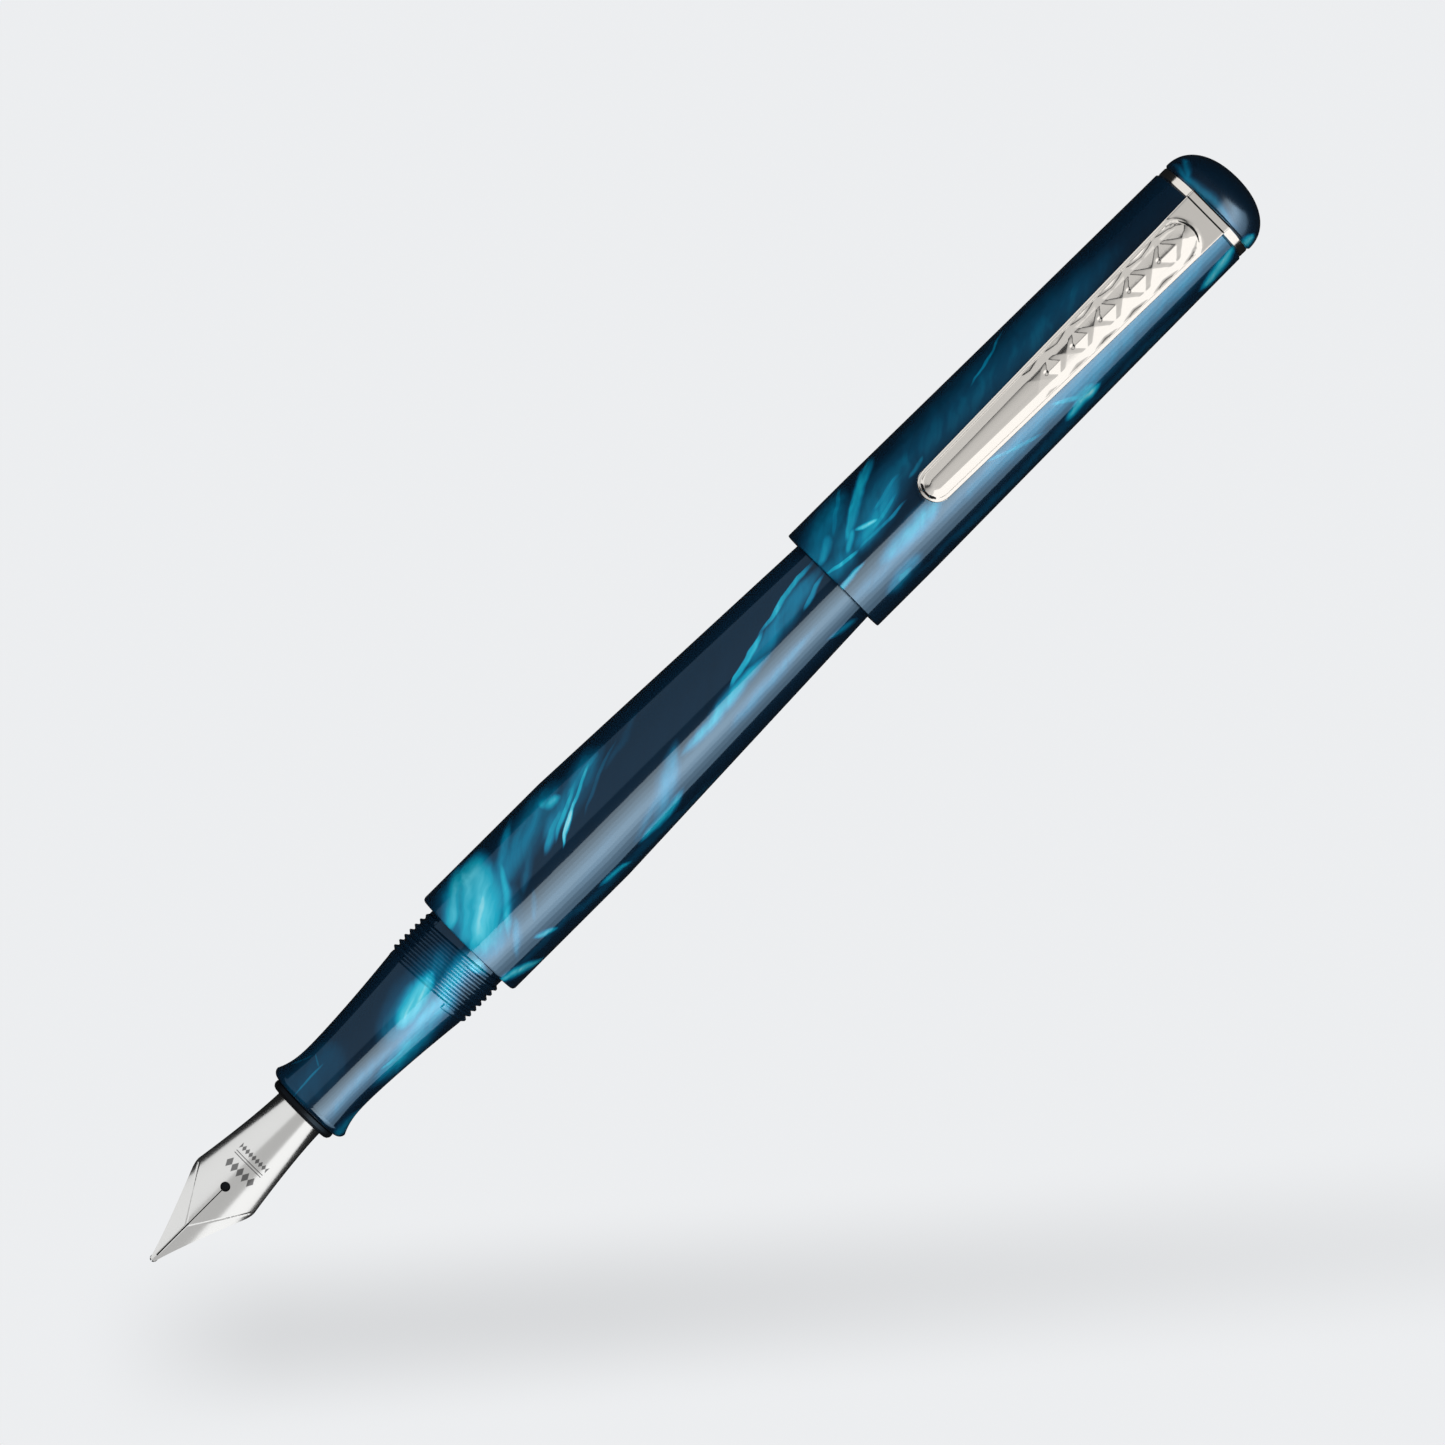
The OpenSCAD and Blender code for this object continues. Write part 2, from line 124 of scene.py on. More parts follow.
def floorMaterial():
    mat = bpy.data.materials.new("paleFloor")
    mat.use_nodes = True
    nodes = mat.node_tree.nodes
    links = mat.node_tree.links
    nodes.clear()
    out = nodes.new("ShaderNodeOutputMaterial")
    out.label = "floor"
    glow = nodes.new("ShaderNodeEmission")
    glow.label = "even pale light"
    place = nodes.new("ShaderNodeTexCoord")
    place.label = "floor position"
    lay = nodes.new("ShaderNodeMapping")
    lay.label = "shade lies across the view"
    lay.vector_type = "TEXTURE"
    split = nodes.new("ShaderNodeSeparateXYZ")
    split.label = "along and across the shade"
    start = nodes.new("ShaderNodeMapRange")
    start.label = "short end"
    start.interpolation_type = "SMOOTHSTEP"
    trail = nodes.new("ShaderNodeMapRange")
    trail.label = "long fading end"
    away = nodes.new("ShaderNodeMath")
    away.label = "either side"
    away.operation = "ABSOLUTE"
    edge = nodes.new("ShaderNodeMapRange")
    edge.label = "soft edges"
    edge.interpolation_type = "SMOOTHSTEP"
    length = nodes.new("ShaderNodeMath")
    length.label = "both ends"
    length.operation = "MULTIPLY"
    shade = nodes.new("ShaderNodeMath")
    shade.label = "whole shade"
    shade.operation = "MULTIPLY"
    tone = nodes.new("ShaderNodeMix")
    tone.label = "shade on the floor"
    tone.data_type = "RGBA"
    soft = nodes.new("NodeFrame")
    soft.label = "soft shade"
    for node in (place, lay, split, start, trail, away, edge, length, shade, tone):
        node.parent = soft
    for i, node in enumerate([place, lay, split, start, trail, away, edge, length, shade, tone, glow, out]):
        node.location = (i * 200 - 1400, 0)
    turn = math.radians(studio["viewTurn"])
    right = Vector((math.cos(turn), math.sin(turn)))
    up = Vector((-math.sin(turn), math.cos(turn)))
    spot = right * studio["shadeAt"][0] + up * studio["shadeAt"][1]
    aim = Vector(studio["aim"])
    lay.inputs["Location"].default_value = ((aim.x + spot.x) * millimetre, (aim.y + spot.y) * millimetre, 0)
    lay.inputs["Rotation"].default_value = (0, 0, turn + math.radians(studio["shadeTurn"]))
    lay.inputs["Scale"].default_value = (
        studio["shadeSize"][0] * millimetre, studio["shadeSize"][1] * millimetre, 1)
    start.inputs["From Min"].default_value = studio["shadeStart"][0]
    start.inputs["From Max"].default_value = studio["shadeStart"][1]
    trail.inputs["From Min"].default_value = studio["shadeTrail"][0]
    trail.inputs["From Max"].default_value = studio["shadeTrail"][1]
    trail.inputs["To Min"].default_value = studio["shadeDepth"]
    trail.inputs["To Max"].default_value = 0.0
    edge.inputs["From Min"].default_value = 1.0
    edge.inputs["From Max"].default_value = 0.0
    tone.inputs["A"].default_value = (*studio["backdrop"], 1)
    tone.inputs["B"].default_value = (0, 0, 0, 1)
    links.new(place.outputs["Object"], lay.inputs["Vector"])
    links.new(lay.outputs["Vector"], split.inputs["Vector"])
    links.new(split.outputs["X"], start.inputs["Value"])
    links.new(split.outputs["X"], trail.inputs["Value"])
    links.new(split.outputs["Y"], away.inputs[0])
    links.new(away.outputs["Value"], edge.inputs["Value"])
    links.new(start.outputs["Result"], length.inputs[0])
    links.new(trail.outputs["Result"], length.inputs[1])
    links.new(length.outputs["Value"], shade.inputs[0])
    links.new(edge.outputs["Result"], shade.inputs[1])
    links.new(shade.outputs["Value"], tone.inputs["Factor"])
    links.new(tone.outputs["Result"], glow.inputs["Color"])
    links.new(glow.outputs["Emission"], out.inputs["Surface"])
    return mat


def layFloor():
    half = studio["floorSize"] * millimetre / 2
    z = -studio["floorDrop"] * millimetre
    mesh = bpy.data.meshes.new("floor")
    mesh.from_pydata([(-half, -half, z), (half, -half, z), (half, half, z), (-half, half, z)],
                     [], [(0, 1, 2, 3)])
    floor = bpy.data.objects.new("floor", mesh)
    scene.collection.objects.link(floor)
    mesh.materials.append(floorMaterial())
    floor.visible_glossy = False
    floor.visible_diffuse = False
    floor.visible_shadow = False


def setWorld():
    world = bpy.data.worlds.new("studioWorld")
    world.use_nodes = True
    nodes = world.node_tree.nodes
    links = world.node_tree.links
    nodes.clear()
    out = nodes.new("ShaderNodeOutputWorld")
    out.label = "studio"
    seen = nodes.new("ShaderNodeBackground")
    seen.label = "what the camera sees past the floor"
    fill = nodes.new("ShaderNodeBackground")
    fill.label = "weak fill from above"
    ray = nodes.new("ShaderNodeLightPath")
    ray.label = "seen or lighting"
    pick = nodes.new("ShaderNodeMixShader")
    pick.label = "backdrop or fill"
    coord = nodes.new("ShaderNodeTexCoord")
    coord.label = "direction"
    split = nodes.new("ShaderNodeSeparateXYZ")
    split.label = "how steep"
    height = nodes.new("ShaderNodeMapRange")
    height.label = "dark below the horizon"
    above = nodes.new("NodeFrame")
    above.label = "fill from above"
    for node in (coord, split, height, fill):
        node.parent = above
    for i, node in enumerate([coord, split, height, fill, seen, ray, pick, out]):
        node.location = (i * 200 - 1200, 0)
    seen.inputs["Color"].default_value = (*studio["backdrop"], 1)
    fill.inputs["Color"].default_value = (0.92, 0.96, 1.0, 1)
    height.inputs["From Min"].default_value = 0.1
    height.inputs["From Max"].default_value = 0.8
    height.inputs["To Min"].default_value = 0.01
    height.inputs["To Max"].default_value = 0.03
    links.new(coord.outputs["Generated"], split.inputs["Vector"])
    links.new(split.outputs["Z"], height.inputs["Value"])
    links.new(height.outputs["Result"], fill.inputs["Strength"])
    links.new(ray.outputs["Is Camera Ray"], pick.inputs["Fac"])
    links.new(fill.outputs["Background"], pick.inputs[1])
    links.new(seen.outputs["Background"], pick.inputs[2])
    links.new(pick.outputs["Shader"], out.inputs["Surface"])
    scene.world = world


print("stage: camera, lamps and floor")
placeCamera()
setWorld()
layFloor()
for index, (start, end, radiance) in enumerate(studio["band"]):
    blue = index / (len(studio["band"]) - 1)
    tint = (1.0, 1.26 + 0.4 * blue, 1.44 + 0.85 * blue)      # bluer towards the near side
    sideLamp("resinBand%d" % index, start, end, radiance, tint, resinPieces, diffuse=False)
sideLamp("bodyFar", -96, -5, radiance=0.25, tint=(0.8, 1.35, 2.0), receivers=bodyPieces, diffuse=False)
sideLamp("capFar", -96, -5, radiance=0.02, tint=(1.0, 1.4, 2.0), receivers=capPieces, diffuse=False)
sideLamp("resinTop", -60, 60, radiance=1.25, tint=(1.0, 1.0, 1.0), receivers=resinPieces, glossy=False)
for index, (start, end, radiance) in enumerate(studio["clipLights"]):
    sideLamp("clipLight%d" % index, start, end, radiance, (1.0, 0.98, 0.955), metalPieces, reach=(-620, 950))
sideLamp("nibNear", 38, 86, radiance=1.08, tint=(1.0, 1.0, 1.0), receivers=nibPieces)
sideLamp("nibTop", -8, 38, radiance=0.5, tint=(1.0, 0.99, 0.98), receivers=nibPieces)
sideLamp("nibFar", -82, -8, radiance=0.84, tint=(1.0, 1.0, 1.0), receivers=nibPieces)


# finishes

resinTones = [
    (0.00, (0.0028, 0.0085, 0.018)),
    (0.12, (0.0018, 0.0180, 0.042)),
    (0.28, (0.0015, 0.0540, 0.115)),
    (0.50, (0.0015, 0.1950, 0.345)),
    (0.70, (0.0080, 0.4300, 0.600)),
    (0.86, (0.0900, 0.6200, 0.780)),
    (1.00, (0.4500, 0.8800, 0.930)),
]


def strokeGroup():
    # one drawn-out streak of pigment, also used for painted glints: a spindle, soft along one side and
    # sharper along the other
    tree = bpy.data.node_groups.new("pigmentAndGlintStroke", "ShaderNodeTree")
    face = tree.interface
    face.new_socket("Place", in_out="INPUT", socket_type="NodeSocketVector")
    face.new_socket("Middle", in_out="INPUT", socket_type="NodeSocketVector")
    face.new_socket("Turn", in_out="INPUT", socket_type="NodeSocketFloat")
    face.new_socket("Size", in_out="INPUT", socket_type="NodeSocketVector")
    face.new_socket("Bend", in_out="INPUT", socket_type="NodeSocketFloat")
    face.new_socket("Edge", in_out="INPUT", socket_type="NodeSocketFloat")
    face.new_socket("Strength", in_out="INPUT", socket_type="NodeSocketFloat")
    face.new_socket("Amount", in_out="OUTPUT", socket_type="NodeSocketFloat")
    nodes = tree.nodes
    links = tree.links
    given = nodes.new("NodeGroupInput")
    given.label = "place and shape of the stroke"
    away = nodes.new("ShaderNodeVectorMath")
    away.label = "from the stroke's middle"
    away.operation = "SUBTRACT"
    turned = nodes.new("ShaderNodeVectorRotate")
    turned.label = "turned along the stroke"
    turned.rotation_type = "Z_AXIS"
    scaled = nodes.new("ShaderNodeVectorMath")
    scaled.label = "in stroke sizes"
    scaled.operation = "DIVIDE"
    split = nodes.new("ShaderNodeSeparateXYZ")
    split.label = "along, across, into"
    square = nodes.new("ShaderNodeMath")
    square.label = "towards its ends"
    square.operation = "MULTIPLY"
    arch = nodes.new("ShaderNodeMath")
    arch.label = "bent"
    arch.operation = "MULTIPLY_ADD"
    waist = nodes.new("ShaderNodeMath")
    waist.label = "narrower to its ends"
    waist.operation = "MULTIPLY_ADD"
    waistKept = nodes.new("ShaderNodeMath")
    waistKept.label = "never quite closed"
    waistKept.operation = "MAXIMUM"
    across = nodes.new("ShaderNodeMath")
    across.label = "place across"
    across.operation = "DIVIDE"
    soft = nodes.new("ShaderNodeMapRange")
    soft.label = "soft side"
    soft.interpolation_type = "SMOOTHSTEP"
    sharp = nodes.new("ShaderNodeMapRange")
    sharp.label = "sharp side"
    sharp.interpolation_type = "SMOOTHSTEP"
    ends = nodes.new("ShaderNodeMapRange")
    ends.label = "fading ends"
    ends.interpolation_type = "SMOOTHSTEP"
    depthSquare = nodes.new("ShaderNodeMath")
    depthSquare.label = "into the rod"
    depthSquare.operation = "MULTIPLY"
    depth = nodes.new("ShaderNodeMapRange")
    depth.label = "fading inwards"
    depth.interpolation_type = "SMOOTHSTEP"
    sides = nodes.new("ShaderNodeMath")
    sides.label = "both sides"
    sides.operation = "MULTIPLY"
    body = nodes.new("ShaderNodeMath")
    body.label = "sides and ends"
    body.operation = "MULTIPLY"
    whole = nodes.new("ShaderNodeMath")
    whole.label = "sides, ends and depth"
    whole.operation = "MULTIPLY"
    amount = nodes.new("ShaderNodeMath")
    amount.label = "pigment"
    amount.operation = "MULTIPLY"
    result = nodes.new("NodeGroupOutput")
    result.label = "amount of the stroke"
    for i, node in enumerate(nodes):
        node.location = ((i % 7) * 200 - 900, 300 - (i // 7) * 260)
    waist.inputs[1].default_value = -0.85
    waist.inputs[2].default_value = 1.0
    waistKept.inputs[1].default_value = 0.08
    soft.inputs["From Min"].default_value = -1.2
    soft.inputs["From Max"].default_value = -0.1
    sharp.inputs["From Min"].default_value = 1.0
    ends.inputs["From Min"].default_value = 1.1
    ends.inputs["From Max"].default_value = 0.15
    depth.inputs["From Min"].default_value = 1.4
    depth.inputs["From Max"].default_value = 0.4
    links.new(given.outputs["Place"], away.inputs[0])
    links.new(given.outputs["Middle"], away.inputs[1])
    links.new(away.outputs["Vector"], turned.inputs["Vector"])
    links.new(given.outputs["Turn"], turned.inputs["Angle"])
    links.new(turned.outputs["Vector"], scaled.inputs[0])
    links.new(given.outputs["Size"], scaled.inputs[1])
    links.new(scaled.outputs["Vector"], split.inputs["Vector"])
    links.new(split.outputs["X"], square.inputs[0])
    links.new(split.outputs["X"], square.inputs[1])
    links.new(square.outputs["Value"], arch.inputs[0])
    links.new(given.outputs["Bend"], arch.inputs[1])
    links.new(split.outputs["Y"], arch.inputs[2])
    links.new(square.outputs["Value"], waist.inputs[0])
    links.new(waist.outputs["Value"], waistKept.inputs[0])
    links.new(arch.outputs["Value"], across.inputs[0])
    links.new(waistKept.outputs["Value"], across.inputs[1])
    links.new(across.outputs["Value"], soft.inputs["Value"])
    links.new(across.outputs["Value"], sharp.inputs["Value"])
    links.new(given.outputs["Edge"], sharp.inputs["From Max"])
    links.new(square.outputs["Value"], ends.inputs["Value"])
    links.new(split.outputs["Z"], depthSquare.inputs[0])
    links.new(split.outputs["Z"], depthSquare.inputs[1])
    links.new(depthSquare.outputs["Value"], depth.inputs["Value"])
    links.new(soft.outputs["Result"], sides.inputs[0])
    links.new(sharp.outputs["Result"], sides.inputs[1])
    links.new(sides.outputs["Value"], body.inputs[0])
    links.new(ends.outputs["Result"], body.inputs[1])
    links.new(body.outputs["Value"], whole.inputs[0])
    links.new(depth.outputs["Result"], whole.inputs[1])
    links.new(whole.outputs["Value"], amount.inputs[0])
    links.new(given.outputs["Strength"], amount.inputs[1])
    links.new(amount.outputs["Value"], result.inputs["Amount"])
    return tree


pigmentAndGlintStroke = strokeGroup()


def pearlResin(name, casting):
    mat = bpy.data.materials.new(name)
    mat.use_nodes = True
    nodes = mat.node_tree.nodes
    links = mat.node_tree.links
    nodes.clear()
    out = nodes.new("ShaderNodeOutputMaterial")
    out.label = "resin"
    skin = nodes.new("ShaderNodeBsdfPrincipled")
    skin.label = "polished pearl resin"

    stir = nodes.new("NodeFrame")
    stir.label = "stirring of the casting"
    place = nodes.new("ShaderNodeTexCoord")
    place.label = "place in the rod"
    size = nodes.new("ShaderNodeMapping")
    size.label = "millimetres"
    slow = nodes.new("ShaderNodeTexNoise")
    slow.label = "slow stirring"
    level = nodes.new("ShaderNodeVectorMath")
    level.label = "both ways"
    level.operation = "SUBTRACT"
    swirl = nodes.new("ShaderNodeVectorMath")
    swirl.label = "how far it is stirred"
    swirl.operation = "MULTIPLY_ADD"
    lean = nodes.new("ShaderNodeMapping")
    lean.label = "leaning along the streaks"
    lean.vector_type = "TEXTURE"
    for node in (place, size, slow, level, swirl, lean):
        node.parent = stir
    size.inputs["Scale"].default_value = (1000, 1000, 1000)
    slow.inputs["Scale"].default_value = 0.16
    slow.inputs["Detail"].default_value = 3.0
    slow.inputs["Roughness"].default_value = 0.45
    level.inputs[1].default_value = (0.5, 0.5, 0.5)
    swirl.inputs[1].default_value = (5.0, 3.0, 3.0)
    lean.inputs["Location"].default_value = casting["shift"]
    lean.inputs["Rotation"].default_value = (0.25, 0.15, math.radians(38))
    links.new(place.outputs["Object"], size.inputs["Vector"])
    links.new(size.outputs["Vector"], slow.inputs["Vector"])
    links.new(slow.outputs["Color"], level.inputs[0])
    links.new(level.outputs["Vector"], swirl.inputs[0])
    links.new(size.outputs["Vector"], swirl.inputs[2])
    links.new(swirl.outputs["Vector"], lean.inputs["Vector"])

    satin = nodes.new("NodeFrame")
    satin.label = "satin streaks"
    wide = nodes.new("ShaderNodeMapping")
    wide.label = "broad streaks"
    broad = nodes.new("ShaderNodeTexNoise")
    broad.label = "broad streaks"
    narrow = nodes.new("ShaderNodeMapping")
    narrow.label = "fine streaks"
    fine = nodes.new("ShaderNodeTexNoise")
    fine.label = "fine streaks"
    folds = nodes.new("ShaderNodeMath")
    folds.label = "number of folds"
    folds.operation = "MULTIPLY"
    saw = nodes.new("ShaderNodeMath")
    saw.label = "folds sharp on one side"
    saw.operation = "FRACT"
    sheen = nodes.new("ShaderNodeValToRGB")
    sheen.label = "shape of a fold"
    for node in (wide, broad, narrow, fine, folds, saw, sheen):
        node.parent = satin
    wide.inputs["Scale"].default_value = (0.045, 0.20, 0.15)
    broad.inputs["Scale"].default_value = 1.0
    broad.inputs["Detail"].default_value = 1.5
    broad.inputs["Distortion"].default_value = 0.3
    narrow.inputs["Scale"].default_value = (0.07, 0.9, 0.6)
    fine.inputs["Scale"].default_value = 1.0
    fine.inputs["Detail"].default_value = 2.0
    folds.inputs[1].default_value = 4.5
    sheen.color_ramp.interpolation = "B_SPLINE"
    sheen.color_ramp.elements[0].color = (0.05, 0.05, 0.05, 1)
    sheen.color_ramp.elements[1].color = (0.08, 0.08, 0.08, 1)
    foot = sheen.color_ramp.elements.new(0.55)
    foot.color = (0.35, 0.35, 0.35, 1)
    crest = sheen.color_ramp.elements.new(0.9)
    crest.color = (1, 1, 1, 1)
    links.new(lean.outputs["Vector"], wide.inputs["Vector"])
    links.new(wide.outputs["Vector"], broad.inputs["Vector"])
    links.new(lean.outputs["Vector"], narrow.inputs["Vector"])
    links.new(narrow.outputs["Vector"], fine.inputs["Vector"])
    links.new(broad.outputs["Fac"], folds.inputs[0])
    links.new(folds.outputs["Value"], saw.inputs[0])
    links.new(saw.outputs["Value"], sheen.inputs["Fac"])

    around = nodes.new("NodeFrame")
    around.label = "veils round the sides and back"
    height = nodes.new("ShaderNodeSeparateXYZ")
    height.label = "height in the rod"
    below = nodes.new("ShaderNodeMapRange")
    below.label = "fewer on top"
    veil = nodes.new("ShaderNodeMapRange")
    veil.label = "where the pigment gathers"
    veil.interpolation_type = "SMOOTHSTEP"
    veiled = nodes.new("ShaderNodeMath")
    veiled.label = "folds in the veils"
    veiled.operation = "MULTIPLY_ADD"
    spread = nodes.new("ShaderNodeMath")
    spread.label = "veils only where they belong"
    spread.operation = "MULTIPLY"
    shown = nodes.new("ShaderNodeMath")
    shown.label = "veils that show"
    shown.operation = "MULTIPLY"
    for node in (height, below, veil, veiled, spread, shown):
        node.parent = around
    below.inputs["From Min"].default_value = 2.4
    below.inputs["From Max"].default_value = -2.5
    below.inputs["To Min"].default_value = 0.0
    below.inputs["To Max"].default_value = 0.95
    veil.inputs["From Min"].default_value = 0.47
    veil.inputs["From Max"].default_value = 0.66
    veiled.inputs[1].default_value = 0.3
    veiled.inputs[2].default_value = 0.5
    links.new(size.outputs["Vector"], height.inputs["Vector"])
    links.new(height.outputs["Z"], below.inputs["Value"])
    links.new(broad.outputs["Fac"], veil.inputs["Value"])
    links.new(sheen.outputs["Color"], veiled.inputs[0])
    links.new(veil.outputs["Result"], spread.inputs[0])
    links.new(veiled.outputs["Value"], spread.inputs[1])
    links.new(spread.outputs["Value"], shown.inputs[0])
    links.new(below.outputs["Result"], shown.inputs[1])

    drawn = nodes.new("NodeFrame")
    drawn.label = "strokes of pearl pigment and painted glints"
    ripple = nodes.new("ShaderNodeTexNoise")
    ripple.label = "ripples in the strokes"
    both = nodes.new("ShaderNodeVectorMath")
    both.label = "both ways"
    both.operation = "SUBTRACT"
    rippled = nodes.new("ShaderNodeVectorMath")
    rippled.label = "rippled place"
    rippled.operation = "MULTIPLY_ADD"
    for node in (ripple, both, rippled):
        node.parent = drawn
    ripple.inputs["Scale"].default_value = 0.2
    ripple.inputs["Detail"].default_value = 2.0
    both.inputs[1].default_value = (0.5, 0.5, 0.5)
    rippled.inputs[1].default_value = (1.4, 1.2, 1.2)
    links.new(size.outputs["Vector"], ripple.inputs["Vector"])
    links.new(ripple.outputs["Color"], both.inputs[0])
    links.new(both.outputs["Vector"], rippled.inputs[0])
    links.new(size.outputs["Vector"], rippled.inputs[2])
    pigment = shown.outputs["Value"]
    # some strokes are painted glints and their halos, laid over the pigment the same way
    for middle, spans, turn, bend, edge, strength in casting["strokes"]:
        stroke = nodes.new("ShaderNodeGroup")
        stroke.label = "one stroke"
        stroke.node_tree = pigmentAndGlintStroke
        stroke.parent = drawn
        stroke.inputs["Middle"].default_value = middle
        stroke.inputs["Turn"].default_value = -math.radians(turn)
        stroke.inputs["Size"].default_value = spans
        stroke.inputs["Bend"].default_value = bend
        stroke.inputs["Edge"].default_value = edge
        stroke.inputs["Strength"].default_value = strength
        over = nodes.new("ShaderNodeMath")
        over.label = "over the others"
        over.operation = "SMOOTH_MAX"
        over.parent = drawn
        over.inputs[2].default_value = 0.12
        links.new(rippled.outputs["Vector"], stroke.inputs["Place"])
        links.new(pigment, over.inputs[0])
        links.new(stroke.outputs["Amount"], over.inputs[1])
        pigment = over.outputs["Value"]

    toning = nodes.new("NodeFrame")
    toning.label = "colour"
    streaky = nodes.new("ShaderNodeMath")
    streaky.label = "fine streaks in the pigment"
    streaky.operation = "MULTIPLY_ADD"
    folded = nodes.new("ShaderNodeMath")
    folded.label = "folds in the pigment"
    folded.operation = "MULTIPLY_ADD"
    streaked = nodes.new("ShaderNodeMath")
    streaked.label = "streaked pigment"
    streaked.operation = "MULTIPLY"
    ground = nodes.new("ShaderNodeMath")
    ground.label = "over the ground colour"
    ground.operation = "ADD"
    tone = nodes.new("ShaderNodeValToRGB")
    tone.label = "navy to turquoise"
    for node in (streaky, folded, streaked, ground, tone):
        node.parent = toning
    streaky.inputs[1].default_value = 0.6
    streaky.inputs[2].default_value = 0.64
    folded.inputs[1].default_value = 0.1
    ground.inputs[1].default_value = casting["haze"]
    tone.color_ramp.interpolation = "LINEAR"
    tone.color_ramp.elements[0].color = (*resinTones[0][1], 1)
    tone.color_ramp.elements[1].color = (*resinTones[-1][1], 1)
    for position, colour in resinTones[1:-1]:
        stop = tone.color_ramp.elements.new(position)
        stop.color = (*colour, 1)
    links.new(fine.outputs["Fac"], streaky.inputs[0])
    links.new(sheen.outputs["Color"], folded.inputs[0])
    links.new(streaky.outputs["Value"], folded.inputs[2])
    links.new(folded.outputs["Value"], streaked.inputs[0])
    links.new(pigment, streaked.inputs[1])
    links.new(streaked.outputs["Value"], ground.inputs[0])
    links.new(ground.outputs["Value"], tone.inputs["Fac"])

    polish = nodes.new("NodeFrame")
    polish.label = "polish"
    flake = nodes.new("ShaderNodeTexNoise")
    flake.label = "pearl flakes"
    sparkle = nodes.new("ShaderNodeMapRange")
    sparkle.label = "flakes scatter the gloss"
    hand = nodes.new("ShaderNodeTexNoise")
    hand.label = "hand polish"
    wave = nodes.new("ShaderNodeBump")
    wave.label = "faint waviness"
    for node in (flake, sparkle, hand, wave):
        node.parent = polish
    flake.inputs["Scale"].default_value = 9.0
    flake.inputs["Detail"].default_value = 2.0
    sparkle.inputs["To Min"].default_value = 0.28
    sparkle.inputs["To Max"].default_value = 0.46
    hand.inputs["Scale"].default_value = 0.35
    wave.inputs["Strength"].default_value = 0.02
    wave.inputs["Distance"].default_value = 0.0004
    links.new(size.outputs["Vector"], flake.inputs["Vector"])
    links.new(flake.outputs["Fac"], sparkle.inputs["Value"])
    links.new(sparkle.outputs["Result"], skin.inputs["Roughness"])
    links.new(size.outputs["Vector"], hand.inputs["Vector"])
    links.new(hand.outputs["Fac"], wave.inputs["Height"])
    links.new(wave.outputs["Normal"], skin.inputs["Coat Normal"])

    skin.inputs["IOR"].default_value = 1.3
    skin.inputs["Specular IOR Level"].default_value = 0.1
    skin.inputs["Coat Weight"].default_value = 1.0
    skin.inputs["Coat Roughness"].default_value = casting["gloss"]
    skin.inputs["Coat IOR"].default_value = 1.6
    links.new(tone.outputs["Color"], skin.inputs["Base Color"])
    links.new(skin.outputs["BSDF"], out.inputs["Surface"])
    for i, node in enumerate(n for n in nodes if n.type != "FRAME"):
        node.location = ((i % 9) * 220 - 1700, 600 - (i // 9) * 260)
    return mat


def metal(name, colour, roughness, grainScale, spread, bump):
    mat = bpy.data.materials.new(name)
    mat.use_nodes = True
    nodes = mat.node_tree.nodes
    links = mat.node_tree.links
    nodes.clear()
    out = nodes.new("ShaderNodeOutputMaterial")
    out.label = name
    skin = nodes.new("ShaderNodeBsdfPrincipled")
    skin.label = "polished metal"
    finish = nodes.new("NodeFrame")
    finish.label = "polishing marks"
    place = nodes.new("ShaderNodeTexCoord")
    place.label = "place on the metal"
    run = nodes.new("ShaderNodeMapping")
    run.label = "marks run along the pen"
    grain = nodes.new("ShaderNodeTexNoise")
    grain.label = "polishing marks"
    blur = nodes.new("ShaderNodeMapRange")
    blur.label = "more and less polished"
    rise = nodes.new("ShaderNodeBump")
    rise.label = "depth of the marks"
    for node in (place, run, grain, blur, rise):
        node.parent = finish
    for i, node in enumerate([place, run, grain, blur, rise, skin, out]):
        node.location = (i * 220 - 1100, 0)
    run.inputs["Scale"].default_value = grainScale
    grain.inputs["Scale"].default_value = 1.0
    grain.inputs["Detail"].default_value = 3.0
    blur.inputs["To Min"].default_value = roughness - spread
    blur.inputs["To Max"].default_value = roughness + spread
    rise.inputs["Strength"].default_value = bump
    rise.inputs["Distance"].default_value = 0.00002
    skin.inputs["Base Color"].default_value = (*colour, 1)
    skin.inputs["Metallic"].default_value = 1.0
    links.new(place.outputs["Object"], run.inputs["Vector"])
    links.new(run.outputs["Vector"], grain.inputs["Vector"])
    links.new(grain.outputs["Fac"], blur.inputs["Value"])
    links.new(grain.outputs["Fac"], rise.inputs["Height"])
    links.new(blur.outputs["Result"], skin.inputs["Roughness"])
    links.new(rise.outputs["Normal"], skin.inputs["Normal"])
    links.new(skin.outputs["BSDF"], out.inputs["Surface"])
    return mat


engraving = {
    "middle": (-36.3, 0.0, 0.0),
    "halfWidth": 2.1,
    "rows": [(-0.9, 0.74, 0.42), (1.4, 0.42, 0.26)],       # place along, half length, half width
    "lines": [(0.32, 0.055), (0.64, 0.055)],
    "slit": (-14.4, -9.4, 0.085),      # where the closed slit is painted dark as the shade in its groove: from, to, half width
    "cutColour": (0.2, 0.2, 0.2),
    "slitShadeColour": (0.01, 0.01, 0.01),
}


